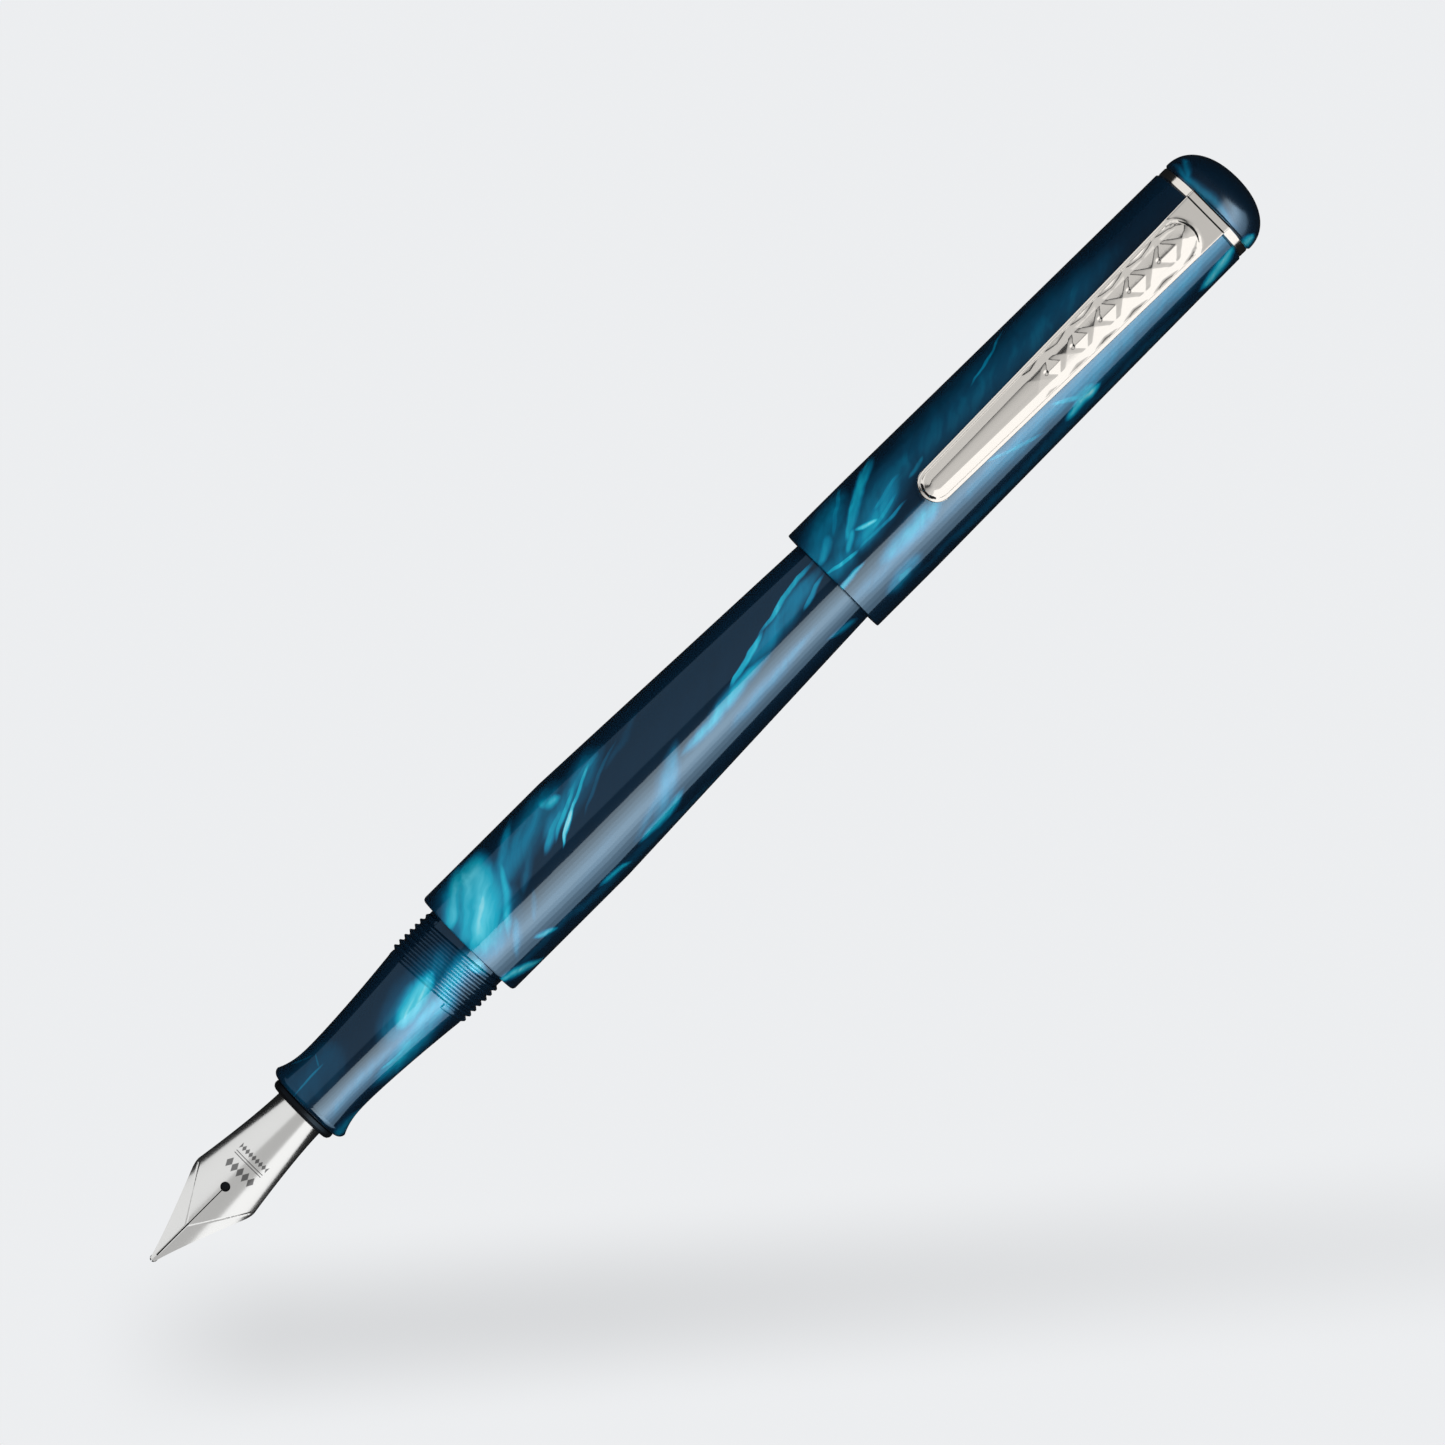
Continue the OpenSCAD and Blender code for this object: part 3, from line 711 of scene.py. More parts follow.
def engrave(mat):
    # rows of diamonds and two lines across the nib's face, and painted shade along the closed slit
    nodes = mat.node_tree.nodes
    links = mat.node_tree.links
    skin = next(n for n in nodes if n.type == "BSDF_PRINCIPLED")
    place = next(n for n in nodes if n.type == "TEX_COORD")
    carve = nodes.new("NodeFrame")
    carve.label = "engraved rows"
    before = set(nodes)
    lay = nodes.new("ShaderNodeMapping")
    lay.label = "millimetres from the ornament's middle"
    lay.vector_type = "TEXTURE"
    split = nodes.new("ShaderNodeSeparateXYZ")
    split.label = "along and across the nib"
    wide = nodes.new("ShaderNodeMath")
    wide.label = "from the middle across"
    wide.operation = "ABSOLUTE"
    field = nodes.new("ShaderNodeMath")
    field.label = "inside the field"
    field.operation = "LESS_THAN"
    shown = nodes.new("ShaderNodeMath")
    shown.label = "engraved"
    shown.operation = "MULTIPLY"
    dull = nodes.new("ShaderNodeMix")
    dull.label = "duller in the cuts"
    dull.data_type = "RGBA"
    lay.inputs["Location"].default_value = tuple(c * millimetre for c in engraving["middle"])
    lay.inputs["Scale"].default_value = (millimetre, millimetre, millimetre)
    field.inputs[1].default_value = engraving["halfWidth"]
    dull.inputs["A"].default_value = skin.inputs["Base Color"].default_value
    dull.inputs["B"].default_value = (*engraving["cutColour"], 1)
    links.new(place.outputs["Object"], lay.inputs["Vector"])
    links.new(lay.outputs["Vector"], split.inputs["Vector"])
    links.new(split.outputs["Y"], wide.inputs[0])
    links.new(wide.outputs["Value"], field.inputs[0])
    marks = None
    for along, long, half in engraving["rows"]:
        off = nodes.new("ShaderNodeMath")
        off.label = "from the row"
        off.operation = "SUBTRACT"
        size = nodes.new("ShaderNodeMath")
        size.label = "either side of the row"
        size.operation = "PINGPONG"
        reach = nodes.new("ShaderNodeMath")
        reach.label = "in half lengths"
        reach.operation = "DIVIDE"
        beads = nodes.new("ShaderNodeMath")
        beads.label = "diamonds in the row"
        beads.operation = "PINGPONG"
        share = nodes.new("ShaderNodeMath")
        share.label = "in half widths"
        share.operation = "DIVIDE"
        diamond = nodes.new("ShaderNodeMath")
        diamond.label = "diamond shape"
        diamond.operation = "ADD"
        cut = nodes.new("ShaderNodeMapRange")
        cut.label = "cut or left"
        off.inputs[1].default_value = along
        size.inputs[1].default_value = 10
        reach.inputs[1].default_value = long
        beads.inputs[1].default_value = half
        share.inputs[1].default_value = half
        cut.inputs["From Min"].default_value = 1.05
        cut.inputs["From Max"].default_value = 0.85
        links.new(split.outputs["X"], off.inputs[0])
        links.new(off.outputs["Value"], size.inputs[0])
        links.new(size.outputs["Value"], reach.inputs[0])
        links.new(split.outputs["Y"], beads.inputs[0])
        links.new(beads.outputs["Value"], share.inputs[0])
        links.new(reach.outputs["Value"], diamond.inputs[0])
        links.new(share.outputs["Value"], diamond.inputs[1])
        links.new(diamond.outputs["Value"], cut.inputs["Value"])
        if marks:
            either = nodes.new("ShaderNodeMath")
            either.label = "either row"
            either.operation = "MAXIMUM"
            links.new(marks, either.inputs[0])
            links.new(cut.outputs["Result"], either.inputs[1])
            marks = either.outputs["Value"]
        else:
            marks = cut.outputs["Result"]
    for along, half in engraving["lines"]:
        line = nodes.new("ShaderNodeMath")
        line.label = "thin line"
        line.operation = "COMPARE"
        either = nodes.new("ShaderNodeMath")
        either.label = "rows or line"
        either.operation = "MAXIMUM"
        line.inputs[1].default_value = along
        line.inputs[2].default_value = half
        links.new(split.outputs["X"], line.inputs[0])
        links.new(marks, either.inputs[0])
        links.new(line.outputs["Value"], either.inputs[1])
        marks = either.outputs["Value"]
    links.new(marks, shown.inputs[0])
    links.new(field.outputs["Value"], shown.inputs[1])
    # painted shade: the closed slit is darkened as if shadowed inside its groove
    begun = nodes.new("ShaderNodeMath")
    begun.label = "behind the tip"
    begun.operation = "GREATER_THAN"
    ended = nodes.new("ShaderNodeMath")
    ended.label = "before the open slit"
    ended.operation = "LESS_THAN"
    thin = nodes.new("ShaderNodeMath")
    thin.label = "within the slit"
    thin.operation = "LESS_THAN"
    span = nodes.new("ShaderNodeMath")
    span.label = "along the closed slit"
    span.operation = "MULTIPLY"
    gap = nodes.new("ShaderNodeMath")
    gap.label = "closed slit"
    gap.operation = "MULTIPLY"
    slitShaded = nodes.new("ShaderNodeMix")
    slitShaded.label = "painted shade inside the slit"
    slitShaded.data_type = "RGBA"
    begun.inputs[1].default_value = engraving["slit"][0]
    ended.inputs[1].default_value = engraving["slit"][1]
    thin.inputs[1].default_value = engraving["slit"][2]
    slitShaded.inputs["B"].default_value = (*engraving["slitShadeColour"], 1)
    links.new(split.outputs["X"], begun.inputs[0])
    links.new(split.outputs["X"], ended.inputs[0])
    links.new(wide.outputs["Value"], thin.inputs[0])
    links.new(begun.outputs["Value"], span.inputs[0])
    links.new(ended.outputs["Value"], span.inputs[1])
    links.new(span.outputs["Value"], gap.inputs[0])
    links.new(thin.outputs["Value"], gap.inputs[1])
    links.new(shown.outputs["Value"], dull.inputs["Factor"])
    links.new(dull.outputs["Result"], slitShaded.inputs["A"])
    links.new(gap.outputs["Value"], slitShaded.inputs["Factor"])
    links.new(slitShaded.outputs["Result"], skin.inputs["Base Color"])
    for i, node in enumerate(n for n in nodes if n not in before):
        node.parent = carve
        node.location = ((i % 8) * 190 - 1800, -420 - (i // 8) * 220)


def plastic(name, colour, roughness, bump, coat, specular=0.5):
    mat = bpy.data.materials.new(name)
    mat.use_nodes = True
    nodes = mat.node_tree.nodes
    links = mat.node_tree.links
    nodes.clear()
    out = nodes.new("ShaderNodeOutputMaterial")
    out.label = name
    skin = nodes.new("ShaderNodeBsdfPrincipled")
    skin.label = "moulded plastic"
    surface = nodes.new("NodeFrame")
    surface.label = "moulded surface"
    place = nodes.new("ShaderNodeTexCoord")
    place.label = "place on the moulding"
    grain = nodes.new("ShaderNodeTexNoise")
    grain.label = "mould texture"
    blur = nodes.new("ShaderNodeMapRange")
    blur.label = "uneven gloss"
    rise = nodes.new("ShaderNodeBump")
    rise.label = "height of the texture"
    for node in (place, grain, blur, rise):
        node.parent = surface
    for i, node in enumerate([place, grain, blur, rise, skin, out]):
        node.location = (i * 220 - 1000, 0)
    grain.inputs["Scale"].default_value = 2600
    grain.inputs["Detail"].default_value = 3.0
    blur.inputs["To Min"].default_value = roughness * 0.8
    blur.inputs["To Max"].default_value = roughness * 1.2
    rise.inputs["Strength"].default_value = bump
    rise.inputs["Distance"].default_value = 0.00002
    skin.inputs["Base Color"].default_value = (*colour, 1)
    skin.inputs["Coat Weight"].default_value = coat
    skin.inputs["Specular IOR Level"].default_value = specular
    links.new(place.outputs["Object"], grain.inputs["Vector"])
    links.new(grain.outputs["Fac"], blur.inputs["Value"])
    links.new(grain.outputs["Fac"], rise.inputs["Height"])
    links.new(blur.outputs["Result"], skin.inputs["Roughness"])
    links.new(rise.outputs["Normal"], skin.inputs["Normal"])
    links.new(skin.outputs["BSDF"], out.inputs["Surface"])
    return mat


print("stage: finishes")
silver = metal("polishedSilver", colour=(0.90, 0.875, 0.84), roughness=0.13,
               grainScale=(90, 900, 900), spread=0.03, bump=0.04)
nibSteel = metal("nibSteel", colour=(0.82, 0.82, 0.81), roughness=0.2,
                 grainScale=(120, 1500, 1500), spread=0.03, bump=0.05)
engrave(nibSteel)
pelletMetal = metal("writingPellet", colour=(0.62, 0.61, 0.6), roughness=0.32,
                    grainScale=(2500, 2500, 2500), spread=0.05, bump=0.2)
sleeveSteel = metal("sleeveSteel", colour=(0.75, 0.75, 0.76), roughness=0.18,
                    grainScale=(2000, 100, 100), spread=0.05, bump=0.1)
screwBrass = metal("turnedBrass", colour=(0.78, 0.57, 0.27), roughness=0.28,
                   grainScale=(2500, 60, 60), spread=0.06, bump=0.2)
feedPlastic = plastic("feedPlastic", colour=(0.006, 0.006, 0.007), roughness=0.36, bump=0.15, coat=0.0,
                      specular=0.12)
blackPlastic = plastic("knobPlastic", colour=(0.014, 0.014, 0.015), roughness=0.25, bump=0.08, coat=0.3)
linerPlastic = plastic("linerPlastic", colour=(0.02, 0.02, 0.022), roughness=0.4, bump=0.15, coat=0.0)
rodPlastic = plastic("rodPlastic", colour=(0.72, 0.72, 0.69), roughness=0.35, bump=0.1, coat=0.0)
sealRubber = plastic("sealRubber", colour=(0.03, 0.03, 0.032), roughness=0.6, bump=0.3, coat=0.0)


def clearPlastic():
    mat = bpy.data.materials.new("clearPlastic")
    mat.use_nodes = True
    nodes = mat.node_tree.nodes
    links = mat.node_tree.links
    nodes.clear()
    out = nodes.new("ShaderNodeOutputMaterial")
    out.label = "clear tube"
    skin = nodes.new("ShaderNodeBsdfPrincipled")
    skin.label = "clear acrylic"
    place = nodes.new("ShaderNodeTexCoord")
    place.label = "place on the tube"
    scuff = nodes.new("ShaderNodeTexNoise")
    scuff.label = "fine scuffs"
    blur = nodes.new("ShaderNodeMapRange")
    blur.label = "scuffed gloss"
    wear = nodes.new("NodeFrame")
    wear.label = "scuffs"
    for node in (place, scuff, blur):
        node.parent = wear
    for i, node in enumerate([place, scuff, blur, skin, out]):
        node.location = (i * 220 - 900, 0)
    scuff.inputs["Scale"].default_value = 900
    blur.inputs["To Min"].default_value = 0.03
    blur.inputs["To Max"].default_value = 0.1
    skin.inputs["Base Color"].default_value = (0.93, 0.96, 0.97, 1)
    skin.inputs["IOR"].default_value = 1.49
    skin.inputs["Transmission Weight"].default_value = 1.0
    links.new(place.outputs["Object"], scuff.inputs["Vector"])
    links.new(scuff.outputs["Fac"], blur.inputs["Value"])
    links.new(blur.outputs["Result"], skin.inputs["Roughness"])
    links.new(skin.outputs["BSDF"], out.inputs["Surface"])
    return mat


clearTube = clearPlastic()


# making pieces

metalSlots = ("polished_silver", "sleeve_steel", "brass")
nibSlots = ("nib_steel", "tipping")


def lightAs(piece, slotName, body=""):
    group = metalPieces if slotName in metalSlots else resinPieces
    if slotName in nibSlots:
        group = nibPieces
    group.objects.link(piece)
    if group == resinPieces:
        side = capPieces if body == "cap" else bodyPieces
        side.objects.link(piece)


def finishPiece(piece, material, body, slotName, *replaced):
    piece.data.materials.append(material)
    lightAs(piece, slotName, body)
    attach(piece, body)
    if replaced:
        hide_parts(*replaced)
    return piece


def meshPiece(name, points, faces, smooth=True):
    # points in mm
    mesh = bpy.data.meshes.new(name)
    mesh.from_pydata([tuple(c * millimetre for c in p) for p in points], [], faces)
    mesh.validate()
    mesh.polygons.foreach_set("use_smooth", [smooth] * len(mesh.polygons))
    piece = bpy.data.objects.new(name, mesh)
    scene.collection.objects.link(piece)
    return piece


def turnedPiece(name, outline, closed=True, edge=0.06, steps=128):
    # outline: points (along the axis, radius) in mm, from nib end to cap end on the outside
    points = [(x * millimetre, 0, r * millimetre) for x, r in reversed(outline)]
    edges = [(i, i + 1) for i in range(len(points) - 1)]
    if closed:
        edges.append((len(points) - 1, 0))
    mesh = bpy.data.meshes.new(name)
    mesh.from_pydata(points, edges, [])
    piece = bpy.data.objects.new(name, mesh)
    scene.collection.objects.link(piece)
    lathe = piece.modifiers.new("lathe", "SCREW")
    lathe.axis = "X"
    lathe.angle = math.tau
    lathe.steps = steps
    lathe.render_steps = steps
    lathe.use_merge_vertices = True
    lathe.merge_threshold = 1e-6
    lathe.use_normal_calculate = True
    lathe.use_smooth_shade = True
    if edge:
        breakEdges(piece, edge)
    return piece


def breakEdges(piece, width, segments=2, angle=28):
    bevel = piece.modifiers.new("broken edges", "BEVEL")
    bevel.limit_method = "ANGLE"
    bevel.angle_limit = math.radians(angle)
    bevel.width = width * millimetre
    bevel.segments = segments
    bevel.harden_normals = True
    bevel.use_clamp_overlap = True
    return bevel


def threadCoil(name, start, turns, pitch, root, crest, starts=1, perTurn=72, runOut=0.4):
    # helical ridges, buried a little in their root cylinder, that fade in and out at their ends
    points = []
    faces = []
    sink = 0.12
    total = int(turns * perTurn)
    for entry in range(starts):
        first = len(points)
        for i in range(total + 1):
            turn = i / perTurn
            a = math.tau * (turn + entry / starts)
            fade = min(1, turn / runOut, (turns - turn) / runOut)
            top = root + (crest - root) * max(0.02, fade)
            x = start + turn * pitch * starts
            ridge = [(-0.46, root - sink), (-0.40, root), (-0.09, top), (0.09, top), (0.40, root),
                     (0.46, root - sink)]
            for along, r in ridge:
                points.append((x + along * pitch, r * math.cos(a), r * math.sin(a)))
        n = 6
        for i in range(total):
            for k in range(n):
                a = first + i * n + k
                b = first + i * n + (k + 1) % n
                faces.append((a, b, b + n, a + n))
        faces.append(tuple(first + k for k in range(n - 1, -1, -1)))
        faces.append(tuple(first + total * n + k for k in range(n)))
    piece = meshPiece(name, points, faces)
    fixNormals(piece)
    return piece


def fixNormals(piece):
    bm = bmesh.new()
    bm.from_mesh(piece.data)
    bmesh.ops.remove_doubles(bm, verts=bm.verts, dist=1e-7)
    bmesh.ops.recalc_face_normals(bm, faces=bm.faces)
    bm.to_mesh(piece.data)
    bm.free()


def threadTeeth(start, turns, pitch, valley, crest):
    # (along, radius) points of a thread drawn as rings, for the inside of a bore
    teeth = []
    for i in range(turns):
        x = start + i * pitch
        teeth += [(x, valley), (x + 0.4 * pitch, crest)]
        teeth += [(x + 0.55 * pitch, crest), (x + 0.95 * pitch, valley)]
    return teeth


# barrel

print("stage: barrel")
barrelLow, barrelHigh = nodeBox("barrel")
sectionLow, sectionHigh = nodeBox("grip_section")
barrelCut = {
    "radius": barrelHigh.z,
    "faceChamfer": 0.35,
    "landLength": 18.4,
    "taper": 0.04,
    "mouthRadius": 5.02,
    "socketRadius": 5.0,
    "threadValley": 5.25,
    "threadStart": 1.2,
    "threadTurns": 9,
    "threadPitch": 0.8,
    "socketDepth": 9.7,
    "cavityRadius": 4.6,
    "endCavityRadius": 4.0,
    "cavityStep": 60.0,
    "endWall": 3.6,
}


def barrelRadius(x):
    return barrelCut["radius"] - max(0, x - barrelCut["landLength"]) * barrelCut["taper"]


barrelPigmentAndGlints = {
    "shift": (3.1, 0.7, 1.9),    # which part of the stirring it is cut from
    "haze": 0,                  # pigment all through the ground colour
    "gloss": 0.08,              # roughness of the polish
    # each stroke: its middle, then half sizes along, across and into the rod, in mm,
    # then the degrees it is turned, its bend, the sharpness of its edge and its strength
    "strokes": [
        ((3.3, 2.7, 6.8), (7.8, 6.21, 5.0), 50, 0, -0.1, 0.83),
        ((3.1, 1.6, 7.2), (4.6, 2.99, 5.0), 52, 0, -0.1, 0.88),
        ((2.1, 4.8, 5.6), (5.1, 2.30, 5.0), 35, 0, -0.1, 0.74),
        ((12.4, 4.3, 5.9), (9.2, 3.22, 5.0), 16, 0, -0.1, 0.5),
        ((20.6, 4.1, 6.1), (7.6, 2.76, 5.0), 12, 0, -0.1, 0.44),
        ((6.5, 0.9, 7.3), (5.8, 1.27, 5.0), 50, 0, -0.1, 0.7),
        ((4.2, 3.7, 6.4), (4.4, 0.46, 3.2), 48, 0, 0.3, 0.8),
        ((9.2, 4.0, 6.2), (5.8, 1.15, 5.0), 35, 0, 0.1, 0.52),
        ((12.8, 4.8, 5.6), (10.3, 1.84, 5.0), 8, 0, -0.1, 0.42),
        ((11.2, 1.8, 7.1), (4.6, 1.15, 5.0), 35, 0, -0.1, 0.34),
        ((19.7, 4.1, 6.1), (7.4, 2.30, 5.0), 18, 0, -0.1, 0.46),
        ((17.8, 1.6, 7.2), (3.2, 0.35, 3.2), 33, 0.1, 0.55, 0.92),
        ((16.3, 2.4, 6.9), (3.9, 0.92, 3.2), 24, 0, 0.2, 0.6),
        ((18.1, 5.2, 5.2), (1.8, 1.38, 5.0), -20, 0, -0.1, 0.74),
        ((22.6, 4.5, 5.8), (4.4, 0.92, 3.2), 10, 0, 0.2, 0.56),
        ((21.4, 3.5, 6.4), (4.6, 0.35, 3.2), 24, -0.1, 0.55, 0.78),
        ((18.8, 3.0, 6.7), (4.6, 0.46, 3.2), 28, 0, 0.5, 0.66),
        ((24.0, 2.9, 6.8), (5.5, 0.35, 3.2), 24, 0, 0.5, 0.3),
        ((28.9, 4.3, 5.9), (5.1, 0.92, 3.2), 18, 0, -0.1, 0.2),
        ((45.6, 0.6, 7.3), (4.6, 0.52, 3.2), 18, -0.15, 0.6, 0.74),
        ((53.4, 2.5, 6.9), (6.4, 0.46, 3.2), 9, -0.15, 0.6, 0.66),
        ((51.7, 1.1, 7.3), (9.2, 1.84, 5.0), 9, 0, 0.2, 0.5),
        ((56.3, 0.7, 7.3), (3.0, 0.46, 3.2), 17, 0, 0.5, 0.54),
        ((40.3, -1.2, 7.3), (9.2, 1.38, 5.0), 6, 0, 0, 0.68),
        ((28.9, -2.9, 6.8), (6.2, 1.84, 5.0), 30, 0, -0.1, 0.5),
        ((25.4, -3.9, 6.2), (5.1, 1.04, 3.2), 20, 0, -0.1, 0.36),
        ((4.4, -3.0, 6.7), (3.2, 1.04, 3.2), 50, 0, -0.1, 0.44),
        ((2.1, -1.4, 7.2), (3.9, 1.38, 5.0), 10, 0, -0.1, 0.6),
        ((8.3, -2.1, 7.0), (2.1, 0.69, 3.2), 45, 0, 0, 0.34),
        ((46.0, -3.0, 6.7), (9.2, 1.38, 5.0), 6, 0, -0.1, 0.4),
        ((17.5, -3.2, 6.6), (6.9, 1.61, 5.0), 12, 0, -0.1, 0.14),
        # the next five strokes are painted glints along the lower side, bright spots of reflected light drawn
        # like pigment
        ((1.8, -6.0, 4.2), (3.9, 0.92, 3.2), -18, 0.16, -0.1, 0.88),
        ((7.2, -5.2, 5.2), (2.0, 0.69, 3.2), -24, 0.2, -0.1, 0.8),
        ((26.0, -5.3, 5.1), (4.6, 1.04, 3.2), 7, -0.12, -0.1, 0.74),
        ((17.7, -6.0, 4.2), (3.0, 0.58, 3.2), -9, 0.2, -0.1, 0.62),
        ((55.9, -4.6, 5.7), (2.8, 0.69, 3.2), -12, 0.2, -0.1, 0.5),
        ((19.7, -6.3, 3.7), (27.6, 0.92, 3.2), -2, 0, -0.1, 0.24),
        ((12.0, 1.0, -7.0), (9.0, 3.0, 4.0), -30, 0, 0.3, 0.8),
        ((36.0, -4.0, -5.0), (10.0, 2.4, 4.0), 25, 0, 0.3, 0.7),
    ],
}


def makeBarrel():
    cut = barrelCut
    face, end = barrelLow.x, barrelHigh.x
    tail = barrelRadius(end)
    outside = [(face, cut["radius"] - cut["faceChamfer"] + 0.05), (face + 0.1, cut["radius"] - 0.12),
               (0, cut["radius"]), (cut["landLength"] - 3, cut["radius"]), (cut["landLength"], cut["radius"])]
    outside += [(cut["landLength"] + 2 * i, barrelRadius(cut["landLength"] + 2 * i)) for i in range(1, 29)]
    outside += [(end - 1, tail + 0.04), (end - 0.5, tail - 0.08), (end - 0.15, tail - 0.4), (end, tail - 0.9),
                (end, 0)]
    inside = [(end - cut["endWall"], 0), (end - cut["endWall"], cut["endCavityRadius"]),
              (cut["cavityStep"] + 1, cut["endCavityRadius"]), (cut["cavityStep"], cut["cavityRadius"]),
              (face + cut["socketDepth"], cut["cavityRadius"]),
              (face + cut["socketDepth"], cut["threadValley"])]
    inside += reversed(threadTeeth(face + cut["threadStart"], cut["threadTurns"], cut["threadPitch"],
                                   cut["threadValley"], cut["socketRadius"]))
    inside += [(face + 1, cut["mouthRadius"]), (face, cut["mouthRadius"])]
    resin = pearlResin("barrelResin", barrelPigmentAndGlints)
    piece = turnedPiece("barrelShell", outside + inside, closed=False, edge=0.05)
    return finishPiece(piece, resin, "barrel", "resin", "barrel")


makeBarrel()


# grip section

print("stage: grip section")
housingLow, housingHigh = nodeBox("nib_housing")
grip = {
    "lipRadius": 5.46,
    "waistRadius": 4.65,
    "lipRound": 0.85,          # length of the lip's rounding
    "lipDrop": 0.95,           # how much smaller the lip's flat face is
    "neckRadius": 5.62,
    "waistBack": 5.4,          # from the lip to the waist
    "lipPower": 2.77,
    "neckPower": 1.5,
    "threadRoot": 5.66,
    "threadCrest": 6.0,
    "threadPitch": 0.84,
    "threadTurns": 2.45,
    "threadStarts": 3,
    "threadBand": 7.12,        # from the barrel's face to the first thread
    "tenonStart": 1.2,
    "tenonTurns": 8.6,
    "tenonPitch": 0.8,
    "tenonRoot": 4.68,
    "tenonCrest": 4.93,
    "housingBore": 3.74,
    "converterBore": 3.8,
    "boreStep": -12.35,
}


def gripRadius(x):
    lip = sectionLow.x
    waist = lip + grip["waistBack"]
    neck = barrelLow.x - grip["threadBand"]
    if x < waist:
        s = (waist - x) / (grip["waistBack"] - grip["lipRound"])
        return grip["waistRadius"] + (grip["lipRadius"] - grip["waistRadius"]) * s ** grip["lipPower"]
    s = min(1, (x - waist) / (neck - waist))
    return grip["waistRadius"] + (grip["neckRadius"] - grip["waistRadius"]) * s ** grip["neckPower"]


sectionPigment = {
    "shift": (7.4, 2.2, 5.1),
    "haze": 0,
    "gloss": 0.08,
    "strokes": [
        ((-23.3, 2.3, 4.9), (6.4, 5.06, 5.0), 0, 0, -0.1, 0.24),
        ((-8.7, 0.2, 5.4), (8.7, 4.60, 5.0), 12, 0, -0.1, 0.44),
        ((-8.9, -0.0, 5.4), (5.1, 2.76, 5.0), 14, 0, -0.1, 0.9),
        ((-11.2, -3.0, 4.5), (9.7, 2.53, 5.0), 4, 0, -0.1, 0.62),
        ((-6.1, -1.9, 5.1), (9.9, 2.30, 5.0), 6, 0, -0.1, 0.66),
        ((-13.6, -3.5, 4.1), (6.4, 1.27, 5.0), -3, 0, -0.1, 0.6),
        ((-14.9, -3.2, 4.3), (3.7, 0.46, 3.2), -2, 0, 0.2, 0.72),
        ((-3.4, -1.2, 5.3), (5.3, 2.99, 5.0), 0, 0, -0.1, 0.58),
        ((-1.3, -2.3, 4.9), (1.2, 1.84, 5.0), 0, 0, 0, 0.84),
        ((-24.0, 1.9, 5.0), (3.5, 0.21, 3.2), 0, 0, 0.5, 0.42),
        ((-21.8, 2.7, 4.7), (1.2, 0.18, 3.2), 62, 0, 0.5, 0.36),
        ((-23.2, 4.1, 3.5), (2.1, 0.16, 3.2), -20, 0, 0.5, 0.3),
        ((-24.5, -4.6, 2.8), (3.2, 1.04, 3.2), 0, 0, -0.1, 0.5),
        ((-19.8, -2.3, 4.9), (8.1, 1.61, 5.0), 4, 0, -0.1, 0.36),
    ],
}


def makeSection():
    lip, tenonEnd = sectionLow.x, sectionHigh.x
    face = barrelLow.x
    neck = face - grip["threadBand"]
    rounding = []
    for i in range(12):
        a = math.pi / 2 * i / 12
        rounding.append((lip + grip["lipRound"] * (1 - math.cos(a)),
                         grip["lipRadius"] - grip["lipDrop"] * (1 - math.sin(a))))
    hold = []
    for i in range(61):
        x = lip + grip["lipRound"] + (neck - lip - grip["lipRound"]) * i / 60
        hold.append((x, gripRadius(x)))
    seat = [(face - 0.02, grip["threadRoot"]), (face - 0.02, grip["tenonRoot"]),
            (tenonEnd - 0.3, grip["tenonRoot"]), (tenonEnd, grip["tenonRoot"] - 0.3)]
    inside = [(tenonEnd, grip["converterBore"]), (grip["boreStep"], grip["converterBore"]),
              (grip["boreStep"], grip["housingBore"]), (lip, grip["housingBore"])]
    resin = pearlResin("sectionResin", sectionPigment)
    piece = turnedPiece("sectionGrip", rounding + hold + seat + inside, edge=0.05)
    finishPiece(piece, resin, "section", "resin", "grip_section")
    capThread = threadCoil("sectionCapThread", neck + 0.3, grip["threadTurns"], grip["threadPitch"],
                           grip["threadRoot"], grip["threadCrest"],
                           starts=grip["threadStarts"], perTurn=96, runOut=0.2)
    finishPiece(capThread, resin, "section", "resin")
    tenonThread = threadCoil("sectionTenonThread", face + grip["tenonStart"], grip["tenonTurns"],
                             grip["tenonPitch"], grip["tenonRoot"], grip["tenonCrest"])
    finishPiece(tenonThread, resin, "section", "resin")


makeSection()


# cap

print("stage: cap")
capLow, capHigh = nodeBox("cap_tube")
ringLow, ringHigh = nodeBox("clip_ring")
finialLow, finialHigh = nodeBox("finial")
capCut = {
    "lipRadius": 7.3,
    "topRadius": 6.785,
    "straight": 9.0,
    "taperPower": 1.2,
    "bore": 5.95,
    "threadValley": 6.05,
    "threadCrest": 5.73,
    "threadStart": 1.3,
    "threadTurns": 7,
    "threadPitch": 0.84,
    "threadDepth": 8.5,        # from the lip to where the plain bore begins
    "endWall": 2.6,
    "screwBore": 2.6,
}


def capRadius(x):
    length = capHigh.x - capLow.x
    t = min(1, max(0, x - capLow.x - capCut["straight"]) / (length - capCut["straight"]))
    drop = capCut["lipRadius"] - capCut["topRadius"]
    return capCut["topRadius"] + drop * (1 - t) ** capCut["taperPower"]


